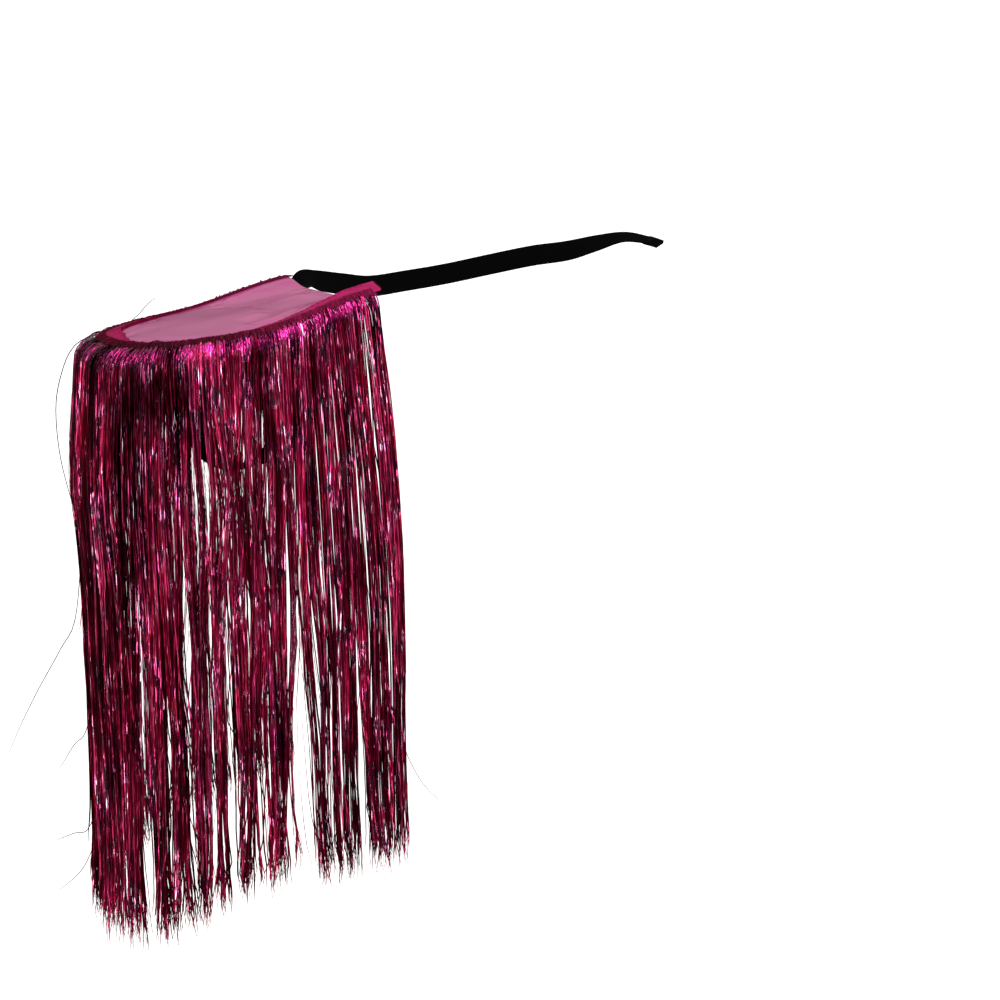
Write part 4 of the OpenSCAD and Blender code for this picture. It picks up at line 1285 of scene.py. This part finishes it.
vinyl, tree, surface = new_material("glossy_pvc_film")
coordinates = add(tree, "ShaderNodeTexCoord").outputs["Object"]
cloudy, grain = [
    add(tree, "ShaderNodeTexNoise", {
        "Vector": coordinates, "Scale": per_metre(size)[0], "Detail": detail}).outputs["Fac"]
    for size, detail in ((CLOUD_SIZE, 2.0), (GRAIN_SIZE, 1.0))]
colour = add(tree, "ShaderNodeValToRGB", {"Fac": cloudy}, ((0.3, "#a2346f"), (0.7, "#b4427e")))
tree.links.new(colour.outputs["Color"], surface.inputs["Base Color"])
surface.inputs["Roughness"].default_value = 0.2
surface.inputs["IOR"].default_value = 1.53
bump = add(tree, "ShaderNodeBump", {"Height": grain, "Strength": 0.5, "Distance": 0.03 * MM})
tree.links.new(bump.outputs[0], surface.inputs["Normal"])
pad.data.materials.append(vinyl)
print("vinyl's material has", len(tree.nodes), "nodes")

# %% [markdown]
# The tape is a fine plain weave: two crossing sets of threads 0.7 mm apart that shade one
# another, a ground colour that runs from light at the front corner to dark at the back, a
# paler and darker drift from wear, and a soft fuzz that scatters light.
# Wave Texture makes the threads, with pi / 10 over their spacing as its scale.
# %% Material: woven tape
TAPE_THREAD = 0.7
DRIFT_SIZE = 11.111

weave, tree, surface = new_material("woven_polyester_tape")
coordinates = add(tree, "ShaderNodeTexCoord").outputs["UV"]
warp, weft = [add(tree, "ShaderNodeTexWave", {
    "Vector": coordinates, "Scale": math.pi / 10 / (TAPE_THREAD * MM), "Distortion": 0.6,
    "Detail": 1.0}, bands_direction=way).outputs["Fac"] for way in ("X", "Y")]
crossing = add(tree, "ShaderNodeMath", {0: warp, 1: weft}, operation="MULTIPLY").outputs[0]
drift = add(tree, "ShaderNodeTexNoise", {
    "Vector": coordinates, "Scale": per_metre(DRIFT_SIZE)[0], "Detail": 3.0}).outputs["Fac"]
along_tape = add(tree, "ShaderNodeSeparateXYZ", {0: coordinates}).outputs["X"]
length_share = add(tree, "ShaderNodeMapRange", {
    "Value": along_tape, "From Max": EDGE_LENGTH * MM}).outputs[0]
ground, worn, threads_shade = [
    add(tree, "ShaderNodeValToRGB", {"Fac": factor}, stops).outputs["Color"] for factor, stops in (
        (length_share, ((0.0, "#d42a74"), (0.18, "#c42068"), (0.36, "#b8185e"), (0.55, "#b41656"),
                        (1.0, "#8e1046"))),
        (drift, ((0.3, "#ccc4c8"), (0.7, "#ffffff"))),
        (crossing, ((0.0, "#c4c4c4"), (0.7, "#ffffff"))))]
colour = ground
for shade in (worn, threads_shade):
    colour = add(tree, "ShaderNodeVectorMath", {0: colour, 1: shade}, operation="MULTIPLY").outputs[0]
tree.links.new(colour, surface.inputs["Base Color"])
for socket, value in (("Roughness", 0.85), ("Specular IOR Level", 0.08), ("Sheen Weight", 0.04),
                      ("Sheen Roughness", 0.5), ("Sheen Tint", linear("#e05a9c"))):
    surface.inputs[socket].default_value = value
bump = add(tree, "ShaderNodeBump", {"Height": crossing, "Strength": 0.7, "Distance": 0.12 * MM})
tree.links.new(bump.outputs[0], surface.inputs["Normal"])
tape.data.materials.append(weave)
print("tape's material has", len(tree.nodes), "nodes")

# %% [markdown]
# Elastic is rubber cords wrapped and woven in with black polyester. The ribs are in the mesh.
# The crossing yarns, a pick every 1.58 mm, are a bump and a slight change of shade. The yarn
# gives the eye a flat black with hardly any gleam.
# %% Material: woven elastic
ELASTIC_PICK = 1.58

elastic, tree, surface = new_material("woven_rubber_elastic")
coordinates = add(tree, "ShaderNodeTexCoord").outputs["UV"]
picks = add(tree, "ShaderNodeTexWave", {
    "Vector": coordinates, "Scale": math.pi / 10 / (ELASTIC_PICK * MM)},
    bands_direction="X").outputs["Fac"]
colour = add(tree, "ShaderNodeValToRGB", {"Fac": picks}, ((0.0, "#010101"), (1.0, "#040405")))
tree.links.new(colour.outputs["Color"], surface.inputs["Base Color"])
surface.inputs["Roughness"].default_value = 0.85
surface.inputs["Specular IOR Level"].default_value = 0.04
bump = add(tree, "ShaderNodeBump", {"Height": picks, "Strength": 0.5, "Distance": 0.15 * MM})
tree.links.new(bump.outputs[0], surface.inputs["Normal"])
for band in (strap, loop):
    band.data.materials.append(elastic)
print("elastic's material has", len(tree.nodes), "nodes")

# %% [markdown]
# The studio is a pale floor well below the hanging fringe, a pale surround and soft light.
# The floor is so wide that its edge never shows. It glows a little, as paper under studio
# light seems to, and is kept out of the strands' reflections, which would turn pale.
# %% Floor
FLOOR_Z = -1.35
FLOOR_HALF = 120.0

floor = new_object("floor", mesh_from("floor", [
    (x * FLOOR_HALF / MM, y * FLOOR_HALF / MM, FLOOR_Z / MM)
    for x, y in ((-1, -1), (1, -1), (1, 1), (-1, 1))], [(0, 1, 2, 3)]))
paper, tree, surface = new_material("white_studio_paper")
for socket, value in (("Base Color", linear("#f4f2f0")), ("Roughness", 0.9),
                      ("Emission Color", (1, 1, 1, 1)), ("Emission Strength", 0.35)):
    surface.inputs[socket].default_value = value
floor.data.materials.append(paper)
floor.visible_glossy = False
print("floor lies", -FLOOR_Z, "m below the pad")

# %% [markdown]
# The camera sees plain white behind the object, but film mirrors its surroundings, and an
# all-white room would turn it pale. So the light that reaches the object comes from a room
# that is dark at eye height and bright overhead, and a Light Path node tells the two apart.
# %% Surround
ROOM_LIGHT = 0.9

world = bpy.data.worlds.new("studio")
scene.world = world
world.use_nodes = True
tree = world.node_tree
tree.nodes.clear()
ray = add(tree, "ShaderNodeLightPath").outputs["Is Camera Ray"]
direction = add(tree, "ShaderNodeTexCoord").outputs["Generated"]
height = add(tree, "ShaderNodeSeparateXYZ", {0: direction}).outputs["Z"]
share = add(tree, "ShaderNodeMapRange", {"Value": height, "From Min": -1.0, "From Max": 1.0})
grey = add(tree, "ShaderNodeValToRGB", {"Fac": share.outputs[0]}, (
    (0.0, "#545454"), (0.43, "#363636"), (0.53, "#747474"), (0.66, "#c4c4c4"), (1.0, "#ffffff")))
seen, unseen = [add(tree, "ShaderNodeBackground", {"Color": colour, "Strength": strength})
                for colour, strength in (((1, 1, 1, 1), 1.0), (grey.outputs["Color"], ROOM_LIGHT))]
mix = add(tree, "ShaderNodeMixShader", {0: ray, 1: unseen.outputs[0], 2: seen.outputs[0]})
add(tree, "ShaderNodeOutputWorld", {"Surface": mix.outputs[0]})
print("surround has", len(tree.nodes), "nodes")

# %% [markdown]
# Two tall soft boxes stand at the left and the right, so the hanging strands mirror them in
# long vertical gleams, and a wide soft sun overhead lights the pad's top.
# %% Soft boxes
SOFT_BOXES = (  # name, place, width, height, power in watts
    ("left", (-2.1, -0.5, -0.2), 0.6, 2.2, 30.0),
    ("right", (1.7, -1.6, -0.2), 0.5, 2.2, 24.0),
)
SUN_STRENGTH = 1.5
SUN_WIDTH = 40  # degrees across, so its shadows are soft
SUN_LEANS = (18, -12, 0)
AIM = Vector((0.0, 0.0, -0.1))

sun_data = bpy.data.lights.new("overhead", "SUN")
sun_data.energy = SUN_STRENGTH
sun_data.angle = math.radians(SUN_WIDTH)
sun = bpy.data.objects.new("overhead", sun_data)
sun.rotation_euler = [math.radians(lean) for lean in SUN_LEANS]
scene.collection.objects.link(sun)
for name, place, width, height, power in SOFT_BOXES:
    light = bpy.data.lights.new(name, "AREA")
    light.shape = "RECTANGLE"
    light.size = width
    light.size_y = height
    light.energy = power
    lamp = bpy.data.objects.new(name, light)
    lamp.location = place
    lamp.rotation_euler = (AIM - Vector(place)).to_track_quat("-Z", "Y").to_euler()
    lamp.visible_camera = False
    scene.collection.objects.link(lamp)
scene.view_settings.view_transform = "Standard"
print(len(bpy.data.lights), "lights")


# %% [markdown]
# Last, every piece is tied to the frame: it rides on the frame's root, and the solid it stands
# for is hidden. A row holds the piece, that solid and the name of one of the record's finishes.
# %% Tie the pieces to the frame
PIECES = [
    (pad, "pad", "glossy_vinyl"),
    (tape, "edge_tape", "woven_tape"),
    (strap, "neck_strap", "black_elastic"),
    (loop, "arm_loop", "black_elastic"),
    (heading, "fringe", "tinsel_foil"),
    (stitches, "edge_tape", "woven_tape"),
    (tacking, "neck_strap", "black_elastic"),
    (strays, "fringe", "tinsel_foil"),
] + [(lot, "fringe", "tinsel_foil") for lot in fringe]
for piece, node, slot in PIECES:
    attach(piece, "root")
    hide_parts(node)
print(len(PIECES), "pieces are tied to the frame")
